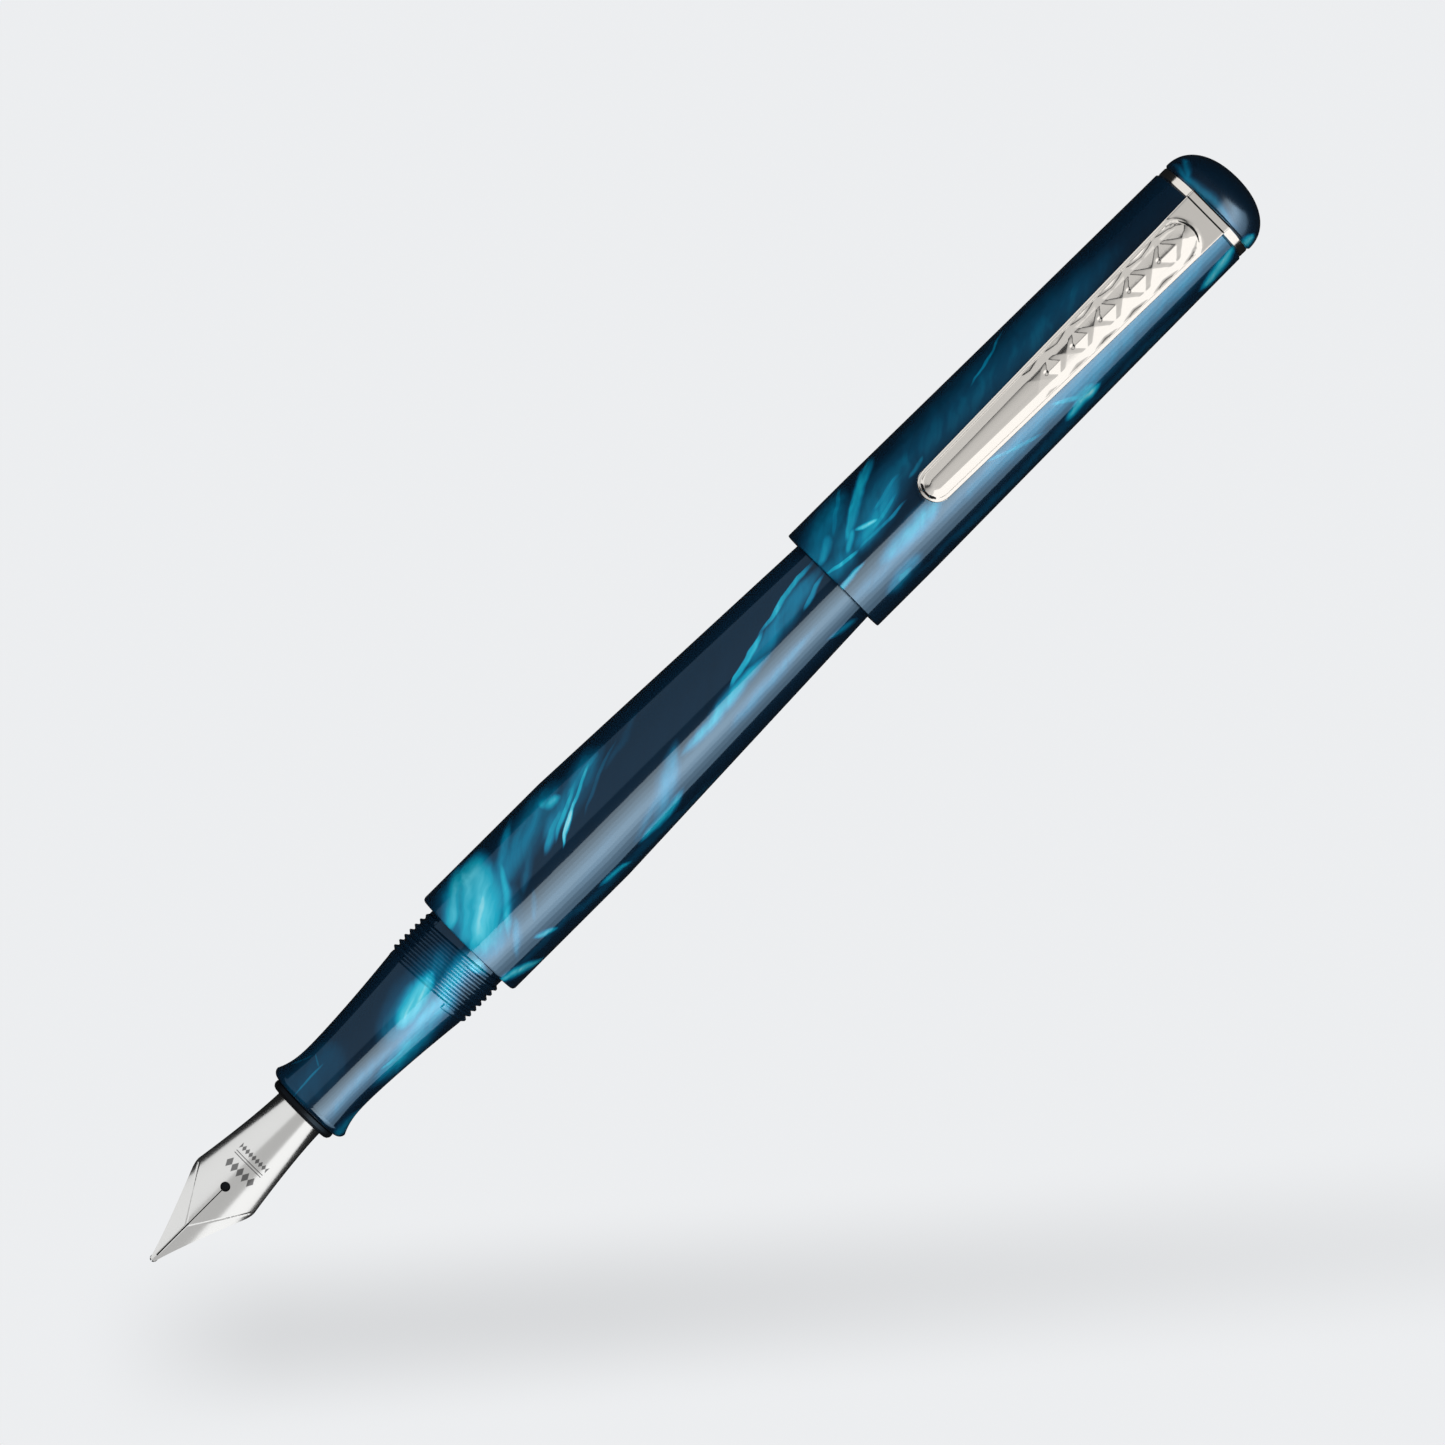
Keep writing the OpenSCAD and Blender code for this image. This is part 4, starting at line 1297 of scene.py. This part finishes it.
capPigmentAndGlints = {
    "shift": (1.3, 5.6, 2.8),
    "haze": 0,
    "gloss": 0.08,
    "strokes": [
        ((61.5, 4.8, 5.4), (7.4, 3.45, 5.0), 20, 0, -0.1, 0.44),
        ((67.2, 3.2, 6.5), (11.0, 4.37, 5.0), 8, 0, -0.1, 0.38),
        ((60.3, 1.1, 7.1), (3.9, 2.99, 5.0), 0, 0, -0.1, 0.46),
        ((60.5, 3.3, 6.4), (2.5, 1.38, 5.0), 30, 0, 0, 0.6),
        ((66.6, 4.3, 5.7), (6.4, 1.04, 3.2), 32, 0, 0.3, 0.6),
        ((64.6, 5.3, 4.9), (4.1, 0.46, 3.2), 35, 0, 0.5, 0.52),
        ((69.1, 5.7, 4.4), (3.9, 0.69, 3.2), 20, 0, 0.5, 0.56),
        ((64.9, 3.4, 6.3), (3.7, 0.46, 3.2), 38, 0, 0.5, 0.62),
        ((66.0, 1.9, 6.9), (2.0, 0.69, 3.2), -15, 0, 0, 0.84),
        ((67.7, 2.0, 6.9), (6.9, 2.53, 5.0), 16, 0, -0.1, 0.56),
        ((68.4, 1.4, 7.1), (3.7, 0.46, 3.2), 12, 0, 0.5, 0.62),
        ((70.2, 2.9, 6.6), (3.5, 0.46, 3.2), 8, 0, 0.5, 0.56),
        ((63.2, 1.8, 7.0), (2.1, 0.92, 3.2), 30, 0, 0, 0.68),
        ((60.9, 0.6, 7.2), (3.0, 0.40, 3.2), -8, 0, 0.5, 0.72),
        ((66.8, 0.4, 7.2), (5.3, 0.35, 3.2), 2, 0, 0.5, 0.54),
        ((60.3, -1.2, 7.1), (3.0, 0.58, 3.2), 3, 0, 0, 0.7),
        ((69.4, -2.1, 6.9), (7.6, 2.07, 5.0), 6, 0, -0.1, 0.62),
        ((64.3, -3.2, 6.4), (6.9, 1.84, 5.0), 0, 0, -0.1, 0.3),
        # painted glint on the lower side, then its painted halo
        ((65.2, -5.5, 4.6), (1.7, 0.58, 3.2), 4, 0.1, 0.1, 0.62),
        ((65.2, -5.2, 5.0), (3.9, 1.50, 5.0), 6, 0.1, -0.1, 0.5),
        ((87.8, 4.1, 5.9), (25.9, 5.29, 5.0), 0, 0, -0.1, 0.31),
        ((74.6, 2.6, 6.7), (2.1, 0.58, 3.2), 15, 0, 0, 0.46),
        ((89.1, 5.5, 4.7), (4.8, 0.25, 3.2), 15, -0.3, 0.5, 0.5),
        ((98.6, -3.7, 6.2), (31.1, 2.53, 5.0), 0, 0, -0.1, 0.5),
        ((84.3, -4.0, 6.0), (4.8, 0.52, 3.2), -19, 0, 0.2, 0.62),
        ((92.6, -4.4, 5.7), (3.0, 0.69, 3.2), -30, 0, 0.2, 0.7),
        # painted glint on the lower side, then its painted halo
        ((93.6, -5.5, 4.6), (3.5, 1.04, 3.2), 8, 0.12, -0.1, 0.9),
        ((94.3, -4.7, 5.4), (2.1, 1.50, 5.0), 0, 0, -0.1, 0.64),
        # painted glint on the lower side
        ((115.6, -5.7, 4.5), (3.9, 1.04, 3.2), 6, -0.1, -0.1, 0.9),
        ((88.4, -6.3, 3.4), (29.9, 0.92, 3.2), 0, 0, -0.1, 0.26),
        ((75.0, -2.0, -6.8), (10.0, 3.0, 4.0), 28, 0, 0.3, 0.8),
    ],
}


def makeCap():
    lip, top = capLow.x, capHigh.x
    cut = capCut
    outside = [(lip, cut["lipRadius"] - 0.1), (lip + 0.1, cut["lipRadius"])]
    outside += [(lip + 2 * i, capRadius(lip + 2 * i)) for i in range(1, 30)]
    outside += [(top - 0.2, cut["topRadius"]), (top, cut["topRadius"] - 0.2), (top, cut["screwBore"])]
    inside = [(top - cut["endWall"], cut["screwBore"]), (top - cut["endWall"], cut["bore"]),
              (lip + cut["threadDepth"], cut["bore"])]
    inside += reversed(threadTeeth(lip + cut["threadStart"], cut["threadTurns"], cut["threadPitch"],
                                   cut["threadValley"], cut["threadCrest"]))
    inside += [(lip, cut["threadValley"])]
    resin = pearlResin("capResin", capPigmentAndGlints)
    piece = turnedPiece("capShell", outside + inside, edge=0.05)
    return finishPiece(piece, resin, "cap", "resin", "cap_tube")


finialPigmentAndGlints = {
    "shift": (9.2, 4.1, 0.6),
    "haze": 0.02,
    "gloss": 0.22,
    "strokes": [
        ((120.0, 1.1, 6.6), (6.4, 1.15, 5.0), 90, 0, -0.1, 0.42),
        # painted glint on the lower side
        ((119.7, -6.0, 3.0), (1.7, 1.04, 3.2), 0, 0, 0, 0.8),
        ((120.7, 4.8, 4.7), (1.6, 0.92, 3.2), 60, 0, -0.1, 0.4),
        ((121.0, 4.0, -4.0), (3.0, 3.0, 4.0), 30, 0, 0.3, 0.6),
    ],
}


finialCut = {
    "edge": 0.25,              # chamfer where it meets the ring
    "fullness": 0.9,           # 1 would be a true ellipse
    "steps": 26,
}


def makeFinial():
    cut = finialCut
    base, tip = finialLow.x, finialHigh.x
    radius = finialHigh.z
    rise = tip - base - cut["edge"]
    dome = [(base, 0), (base, radius - cut["edge"])]
    for i in range(cut["steps"] + 1):
        a = math.pi / 2 * i / cut["steps"]
        dome.append((base + cut["edge"] + rise * math.sin(a) ** cut["fullness"],
                     radius * max(0, math.cos(a)) ** cut["fullness"]))
    resin = pearlResin("finialResin", finialPigmentAndGlints)
    piece = turnedPiece("finialDome", dome, closed=False, edge=0.05)
    return finishPiece(piece, resin, "cap", "resin", "finial")


ringCut = {
    "radius": 6.62,
    "bore": 2.6,
    "edge": 0.12,
}


def makeRing():
    front, back = ringLow.x, ringHigh.x
    radius, bore, edge = ringCut["radius"], ringCut["bore"], ringCut["edge"]
    rim = [(front, radius - edge), (front + edge, radius), (back - edge, radius), (back, radius - edge),
           (back, bore), (front, bore)]
    piece = turnedPiece("clipRing", rim, edge=0.05)
    return finishPiece(piece, silver, "cap", "polished_silver", "clip_ring")


makeCap()
makeFinial()
makeRing()


# clip

print("stage: clip")
clipLow, clipHigh = nodeBox("clip")
clipCut = {
    "turn": 3.2,               # degrees round the cap from straight up
    "rootWidth": 6.05,
    "tipWidth": 4.25,
    "rootUnder": 7.5,          # height of the underside over the pen's axis
    "tipUnder": 7.8,
    "plate": 0.8,
    "footUnder": 7.4,
    "footLength": 0.93,
    "bendRadius": 0.45,
    "foldBack": 1.3,           # where the root steps down onto the ring's tongue
    "foldDrop": 0.2,
    "foldLength": 0.3,
    "edgeRound": 0.15,
    "rim": 0.42,
    "rimFall": 0.14,
    "wallWidth": 0.1,
    "wallRise": 0.26,
    "slopeRise": 0.29,
    "slopeWidth": 0.95,
    "ledgeWidth": 0.26,        # the nearly flat step along the panel's +Y side
    "ledgeRise": 0.016,
    "arch": 0.024,             # how much the panel's face is bowed
    "archLimit": 1.2,
    "panelFront": 0.5,
    "panelBack": 3.3,
    "studs": 5,
    "studFirst": 21.0,
    "studStep": 4.31,
    "studStepGrowth": 0.19,
    "studLong": 1.15,          # half length of the first stud
    "studGrowth": 0.09,
    "studRise": 0.3,
    "pitDepth": 0.14,          # at the tip-side corner of each stud
    "pitRadius": 0.32,
    "pitBack": 0.9,            # in half lengths of the stud
    "pitAside": 0.12,
    "scoopDepths": (0.12, 0.19, 0.26, 0.28, 0.28, 0.28),
    "scoopReach": 1.9,
    "scoopWidth": 1.5,
    "scoopEdge": 0.5,          # how far in from the panel's side a scoop is full
    "scoopEnd": 0.56,          # the last scoop behind the last stud, in stud steps
    "fadeFront": 4.2,          # the scoops fade in from here, in front of the first stud
    "fadeLength": 1.5,
    "bumpBack": 3.2,           # from the tip to the bump that touches the cap
    "bumpRadius": 1.3,
    "bumpDrop": 0.42,
    "lugUnder": 5.6,           # the tongue under the clip's foot
    "lugGap": 0.1,
    "lugSide": 0.02,
}


def studPlaces():
    c = clipCut
    return [clipLow.x + c["studFirst"] + c["studStep"] * i + c["studStepGrowth"] * i * (i - 1) / 2
            for i in range(c["studs"])]


def clipHalfWidth(x):
    s = (x - clipLow.x) / (clipHigh.x - clipLow.x)
    return (clipCut["tipWidth"] + (clipCut["rootWidth"] - clipCut["tipWidth"]) * s) / 2


def clipUnder(x):
    s = (x - clipLow.x) / (clipHigh.x - clipLow.x)
    return clipCut["tipUnder"] + (clipCut["rootUnder"] - clipCut["tipUnder"]) * s


def smoothStep(t):
    t = min(1, max(0, t))
    return t * t * (3 - 2 * t)


def clipRelief(x, y, studs):
    # height over the plate at a point of the clip's top
    c = clipCut
    front = clipLow.x + c["panelFront"]
    back = clipHigh.x - c["panelBack"]
    half = clipHalfWidth(x) - c["rim"]
    inset = half - abs(y)
    if x < front + half:
        inset = half - math.hypot(front + half - x, y)
    if x > back - half:
        inset = half - math.hypot(x - back + half, y)
    fold = c["foldDrop"] * smoothStep((x - clipHigh.x + c["foldBack"]) / c["foldLength"])
    if inset <= 0:
        return -c["rimFall"] * min(1, -inset / c["rim"]) - fold
    rise = c["wallRise"] * smoothStep(inset / c["wallWidth"])
    rise += c["slopeRise"] * min(1, max(0, inset - c["wallWidth"]) / c["slopeWidth"])
    topped = inset - c["wallWidth"] - c["slopeWidth"]
    farSide = smoothStep(0.5 + y)
    rise += c["ledgeRise"] * farSide * min(1, max(0, topped / c["ledgeWidth"]))
    rise -= c["arch"] * min(y * y, c["archLimit"]) * (1 if topped > 0 else 1 + topped / c["slopeWidth"])
    middles = [(a + b) / 2 for a, b in zip(studs, studs[1:])]
    middles = [studs[0] - c["studStep"] / 2] + middles + [studs[-1] + c["studStep"] * c["scoopEnd"]]
    fade = smoothStep((x - studs[0] + c["fadeFront"]) / c["fadeLength"])
    for m, depth in zip(middles, c["scoopDepths"]):
        scoop = abs(y) / c["scoopWidth"] - abs(x - m) / c["scoopReach"]
        if scoop > 0:
            rise -= depth * min(1, scoop) * fade * min(1, inset / c["scoopEdge"])
    for i, s in enumerate(studs):
        long = c["studLong"] + c["studGrowth"] * i
        peak = 1 - abs(x - s) / long - abs(y) / long
        if peak > 0:
            rise += c["studRise"] * peak
        pit = 1 - math.hypot(x - s + long * c["pitBack"], y - c["pitAside"]) / c["pitRadius"]
        if pit > 0:
            rise -= c["pitDepth"] * pit
    return rise


def makeClip():
    c = clipCut
    tip, root = clipLow.x, clipHigh.x
    studs = studPlaces()
    tipRadius = c["tipWidth"] / 2
    centre = tip + tipRadius
    stations = [centre - tipRadius * math.cos(math.pi / 2 * i / 22) for i in range(1, 22)]
    fine = 0.1
    count = int((root - c["bendRadius"] - centre) / fine)
    stations += [centre + (root - c["bendRadius"] - centre) * i / count for i in range(count)]
    stations += [root - c["bendRadius"] * math.cos(math.pi / 2 * i / 8) for i in range(9)]
    # columns follow the clip's edges, so its long lines stay straight
    steps = [0, 0.02, 0.05, 0.09, 0.15, 0.28, 0.41, 0.435, 0.46, 0.49, 0.52, 0.6, 0.85, 1.1, 1.35, 1.46, 1.5,
             1.58, 1.66, 1.72]
    middle = 26
    across = 2 * (len(steps) - 1) + middle
    top = []
    under = []
    for x in stations:
        wide = clipHalfWidth(x)
        if x < centre:
            wide = math.sqrt(max(0, tipRadius ** 2 - (centre - x) ** 2)) * clipHalfWidth(x) / tipRadius
        for j in range(across + 1):
            scale = min(1, wide / tipRadius) if x < centre else 1
            inner = wide - steps[-1] * scale
            if j < len(steps):
                y = steps[j] * scale - wide
            elif j > across - len(steps):
                y = wide - steps[across - j] * scale
            else:
                y = inner * (2 * (j - len(steps) + 1) / middle - 1)
            edge = wide - abs(y) if x >= centre else tipRadius - math.hypot(centre - x, y)
            roll = max(0, 1 - max(0, edge) / c["edgeRound"])
            drop = c["edgeRound"] * (1 - math.sqrt(max(0, 1 - roll * roll)))
            z = clipUnder(x) + c["plate"] + clipRelief(x, y, studs) - drop
            bend = max(0, x - (root - c["bendRadius"]))
            z -= c["bendRadius"] - math.sqrt(max(0, c["bendRadius"] ** 2 - bend ** 2))
            top.append((x, y, z))
            low = clipUnder(x) + drop
            if x > root - c["footLength"]:
                low = c["footUnder"]
            away = math.hypot(x - tip - c["bumpBack"], y) / c["bumpRadius"]
            low -= c["bumpDrop"] * math.cos(min(1, away) * math.pi / 2) ** 2
            under.append((x, y, low))
    wide = across + 1
    rows = len(stations)
    points = top + under
    offset = len(top)
    faces = []
    for i in range(rows - 1):
        for j in range(across):
            a = i * wide + j
            faces.append((a, a + wide, a + wide + 1, a + 1))
            faces.append((offset + a, offset + a + 1, offset + a + wide + 1, offset + a + wide))
        for j in (0, across):
            a = i * wide + j
            b = a + wide
            faces.append((a, offset + a, offset + b, b) if j == 0 else (a, b, offset + b, offset + a))
    for i in (0, rows - 1):
        for j in range(across):
            a = i * wide + j
            faces.append((a, a + 1, offset + a + 1, offset + a) if i == 0
                         else (a + 1, a, offset + a, offset + a + 1))
    piece = meshPiece("clipArm", points, faces)
    piece.data.transform(Matrix.Rotation(math.radians(c["turn"]), 4, "X"))
    fixNormals(piece)
    return finishPiece(piece, silver, "clip", "polished_silver", "clip")


def makeLug():
    # the ring's tongue that the clip stands on
    c = clipCut
    half = c["rootWidth"] / 2
    low, high = c["lugUnder"], c["footUnder"] - c["lugGap"]
    points = []
    for x in (ringLow.x + c["lugSide"], ringHigh.x - c["lugSide"]):
        points += [(x, -half, low), (x, half, low), (x, half, high), (x, -half, high)]
    faces = [(0, 1, 2, 3), (7, 6, 5, 4), (0, 4, 5, 1), (1, 5, 6, 2), (2, 6, 7, 3), (3, 7, 4, 0)]
    piece = meshPiece("clipLug", points, faces)
    piece.data.transform(Matrix.Rotation(math.radians(c["turn"]), 4, "X"))
    fixNormals(piece)
    breakEdges(piece, 0.12, 3)
    return finishPiece(piece, silver, "cap", "polished_silver")


makeClip()
makeLug()


# nib

print("stage: nib unit")
nibLow, nibHigh = nodeBox("nib")
nibCut = {
    "sheet": 0.38,
    "flange": housingLow.x,
    "baseWidth": 6.2,
    "baseRadius": 3.2,
    "tipRadius": 8.0,
    "drop": 5.9,
    "shoulderBack": 11.9,
    "shoulderWidth": 8.75,
    "sidePower": 1.4,          # sweep of the sides behind the shoulders
    "shoulderRound": 1.3,      # length and width taken by the shoulders' rounding
    "shoulderTurn": 0.29,
    "roundPower": 1.8,
    "tipHalf": 0.3,
    "tinePower": 1.12,
    "breather": 1.15,
    "slit": 0.12,
    "tinesTouch": 5.7,         # from the tip, the slit is closed and only shows as a groove
    "touchDepth": 0.4,
    "touchWidth": 0.13,
    "touchFront": 0.8,         # from the tip to where the groove begins, and over which it deepens
    "creaseFront": 5.5,        # from the tip to where the creases meet the slit
    "creaseSlope": 0.66,
    "creaseBend": 0.088,
    "creaseBack": 0.3,         # the creases end this far before the shoulders
    "grooveDepth": 0.12,
    "grooveWidth": 0.11,
    "tipRise": 0.13,
}


def nibHalfWidth(x):
    n = nibCut
    tip = nibLow.x
    shoulder = tip + n["shoulderBack"]
    if x >= n["flange"]:
        return n["baseWidth"] / 2
    if x >= shoulder:
        s = (n["flange"] - x) / (n["flange"] - shoulder)
        return (n["baseWidth"] + (n["shoulderWidth"] - n["baseWidth"]) * s ** n["sidePower"]) / 2
    back = shoulder - x
    wide = n["shoulderWidth"] / 2
    turnIn = n["shoulderRound"]
    if back < turnIn:
        return wide - n["shoulderTurn"] * (back / turnIn) ** n["roundPower"]
    s = (back - turnIn) / (n["shoulderBack"] - turnIn)
    return n["tipHalf"] + (wide - n["shoulderTurn"] - n["tipHalf"]) * (1 - s) ** n["tinePower"]


def nibHeight(x, y):
    n = nibCut
    along = max(0, n["flange"] - x) / (n["flange"] - nibLow.x)
    radius = n["baseRadius"] + (n["tipRadius"] - n["baseRadius"]) * along
    middle = -n["drop"] * along
    z = middle + math.sqrt(max(0.01, radius ** 2 - y ** 2)) + n["tipRise"] * along
    groove = x - nibLow.x - n["touchFront"]
    if 0 < groove < n["tinesTouch"] - n["touchFront"]:
        z -= n["touchDepth"] * max(0, 1 - y / n["touchWidth"]) * min(1, groove / n["touchFront"])
    # flats pressed into the tines, outside a crease on each side
    crease = (x - nibLow.x - n["creaseFront"]) * n["creaseSlope"]
    beyond = abs(y) - max(0, crease)
    if x < nibLow.x + n["shoulderBack"] - n["creaseBack"]:
        z -= n["creaseBend"] * max(0, beyond)
        z -= n["grooveDepth"] * max(0, 1 - abs(abs(y) - crease) / n["grooveWidth"]) if crease > 0 else 0
    return z


def makeNib():
    n = nibCut
    tip, base = nibLow.x, nibHigh.x
    hole = tip + n["shoulderBack"]
    holeRadius = n["breather"] / 2
    stations = []
    x = tip
    while x < hole - holeRadius - 0.02:
        stations.append(x)
        x += 0.08
    stations += [hole - holeRadius * math.cos(math.pi * i / 16) for i in range(17)]
    x = hole + holeRadius + 0.12
    while x < base:
        stations.append(x)
        x += 0.22
    stations.append(base)
    across = 60
    points = []
    faces = []
    for x in stations:
        inner = n["slit"] / 2 if x > tip + n["tinesTouch"] else 0
        if abs(x - hole) <= holeRadius:
            inner = max(0 if x > hole else inner, math.sqrt(max(0, holeRadius ** 2 - (x - hole) ** 2)))
        elif x > hole:
            inner = 0
        outer = nibHalfWidth(x)
        for j in range(across + 1):
            y = inner + (outer - inner) * (j / across) ** 1.3
            points.append((x, y, nibHeight(x, y) - n["sheet"] / 2))
    for i in range(len(stations) - 1):
        for j in range(across):
            a = i * (across + 1) + j
            faces.append((a, a + across + 1, a + across + 2, a + 1))
    piece = meshPiece("nibSheet", points, faces)
    fixNormals(piece)
    other = piece.modifiers.new("other half", "MIRROR")
    other.use_axis = (False, True, False)
    other.use_mirror_merge = True
    other.merge_threshold = 0.00001
    thick = piece.modifiers.new("sheet", "SOLIDIFY")
    thick.thickness = n["sheet"] * millimetre
    thick.offset = 0
    thick.use_even_offset = False
    breakEdges(piece, 0.05, 2, 50)
    return finishPiece(piece, nibSteel, "nib_unit", "nib_steel", "nib")


def makePellet():
    low, high = nodeBox("nib_tipping")
    centre = (low + high) / 2
    size = (high - low) / 2
    bm = bmesh.new()
    bmesh.ops.create_uvsphere(bm, u_segments=32, v_segments=20, radius=1)
    for v in bm.verts:
        v.co = Vector((centre.x + v.co.x * size.x, centre.y + v.co.y * size.y * 0.9,
                       centre.z + v.co.z * size.z * 0.92)) * millimetre
    gap = nibCut["slit"] / 2 * millimetre
    slab = bmesh.ops.bisect_plane(bm, geom=bm.verts[:] + bm.edges[:] + bm.faces[:],
                                  plane_co=(0, gap, 0), plane_no=(0, -1, 0), clear_outer=True)
    rim = [e for e in slab["geom_cut"] if isinstance(e, bmesh.types.BMEdge)]
    bmesh.ops.edgeloop_fill(bm, edges=rim)
    half = bm.verts[:] + bm.edges[:] + bm.faces[:]
    copy = bmesh.ops.duplicate(bm, geom=half)["geom"]
    for v in (g for g in copy if isinstance(g, bmesh.types.BMVert)):
        v.co.y = -v.co.y
    bmesh.ops.recalc_face_normals(bm, faces=bm.faces)
    mesh = bpy.data.meshes.new("writingPellet")
    bm.to_mesh(mesh)
    bm.free()
    mesh.polygons.foreach_set("use_smooth", [True] * len(mesh.polygons))
    piece = bpy.data.objects.new("writingPellet", mesh)
    scene.collection.objects.link(piece)
    breakEdges(piece, 0.03, 2, 50)
    return finishPiece(piece, pelletMetal, "nib_unit", "tipping", "nib_tipping")


housingCut = {
    "flangeRadius": 4.45,
    "stemRadius": 3.42,
    "stemEnd": -13.1,
    "nippleStart": -12.05,
    "nippleRadius": 2.05,
    "inkBore": 1.2,
    "inkBoreStart": -12.8,
    "feedBore": 1.94,
    "nibBoreEnd": -19.6,
    "nibBore": 3.24,
    "threadStart": 0.8,
    "threadTurns": 19.5,
    "threadPitch": 0.6,
    "threadCrest": 3.68,
}


def makeHousing():
    cut = housingCut
    front, back = housingLow.x, housingHigh.x
    lip = sectionLow.x
    flange, stem, nipple = cut["flangeRadius"], cut["stemRadius"], cut["nippleRadius"]
    outside = [(front, flange - 0.4), (front + 0.1, flange - 0.2), (front + 0.4, flange),
               (lip - 0.15, flange), (lip - 0.03, flange - 0.15), (lip - 0.03, stem), (cut["stemEnd"], stem),
               (cut["nippleStart"], nipple), (back - 0.4, nipple), (back, nipple - 0.3)]
    inside = [(back, cut["inkBore"]), (cut["inkBoreStart"], cut["inkBore"]),
              (cut["inkBoreStart"], cut["feedBore"]), (cut["nibBoreEnd"], cut["feedBore"]),
              (cut["nibBoreEnd"], cut["nibBore"]), (front, cut["nibBore"])]
    piece = turnedPiece("nibHousing", outside + inside, edge=0.06)
    finishPiece(piece, feedPlastic, "nib_unit", "feed_plastic", "nib_housing")
    coil = threadCoil("nibHousingThread", lip + cut["threadStart"], cut["threadTurns"],
                      cut["threadPitch"], stem, cut["threadCrest"])
    finishPiece(coil, feedPlastic, "nib_unit", "feed_plastic")


makeNib()
makePellet()
makeHousing()
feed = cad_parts["feed"]
feed.data.materials.clear()
feed.data.materials.append(feedPlastic)
lightAs(feed, "feed_plastic")


# inside

print("stage: inside pieces")
insideFinishes = {
    "converter_tube": (clearTube, "clear_plastic"),
    "converter_collar": (blackPlastic, "black_plastic"),
    "converter_sleeve": (sleeveSteel, "sleeve_steel"),
    "converter_knob": (blackPlastic, "black_plastic"),
    "converter_spindle": (sleeveSteel, "sleeve_steel"),
    "piston_rod": (rodPlastic, "rod_plastic"),
    "piston_seal": (sealRubber, "seal_rubber"),
    "inner_cap": (linerPlastic, "liner_plastic"),
    "finial_screw": (screwBrass, "brass"),
}
for name, (material, slotName) in insideFinishes.items():
    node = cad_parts[name]
    node.data.materials.clear()
    node.data.materials.append(material)
    lightAs(node, slotName)

print("stage: done")
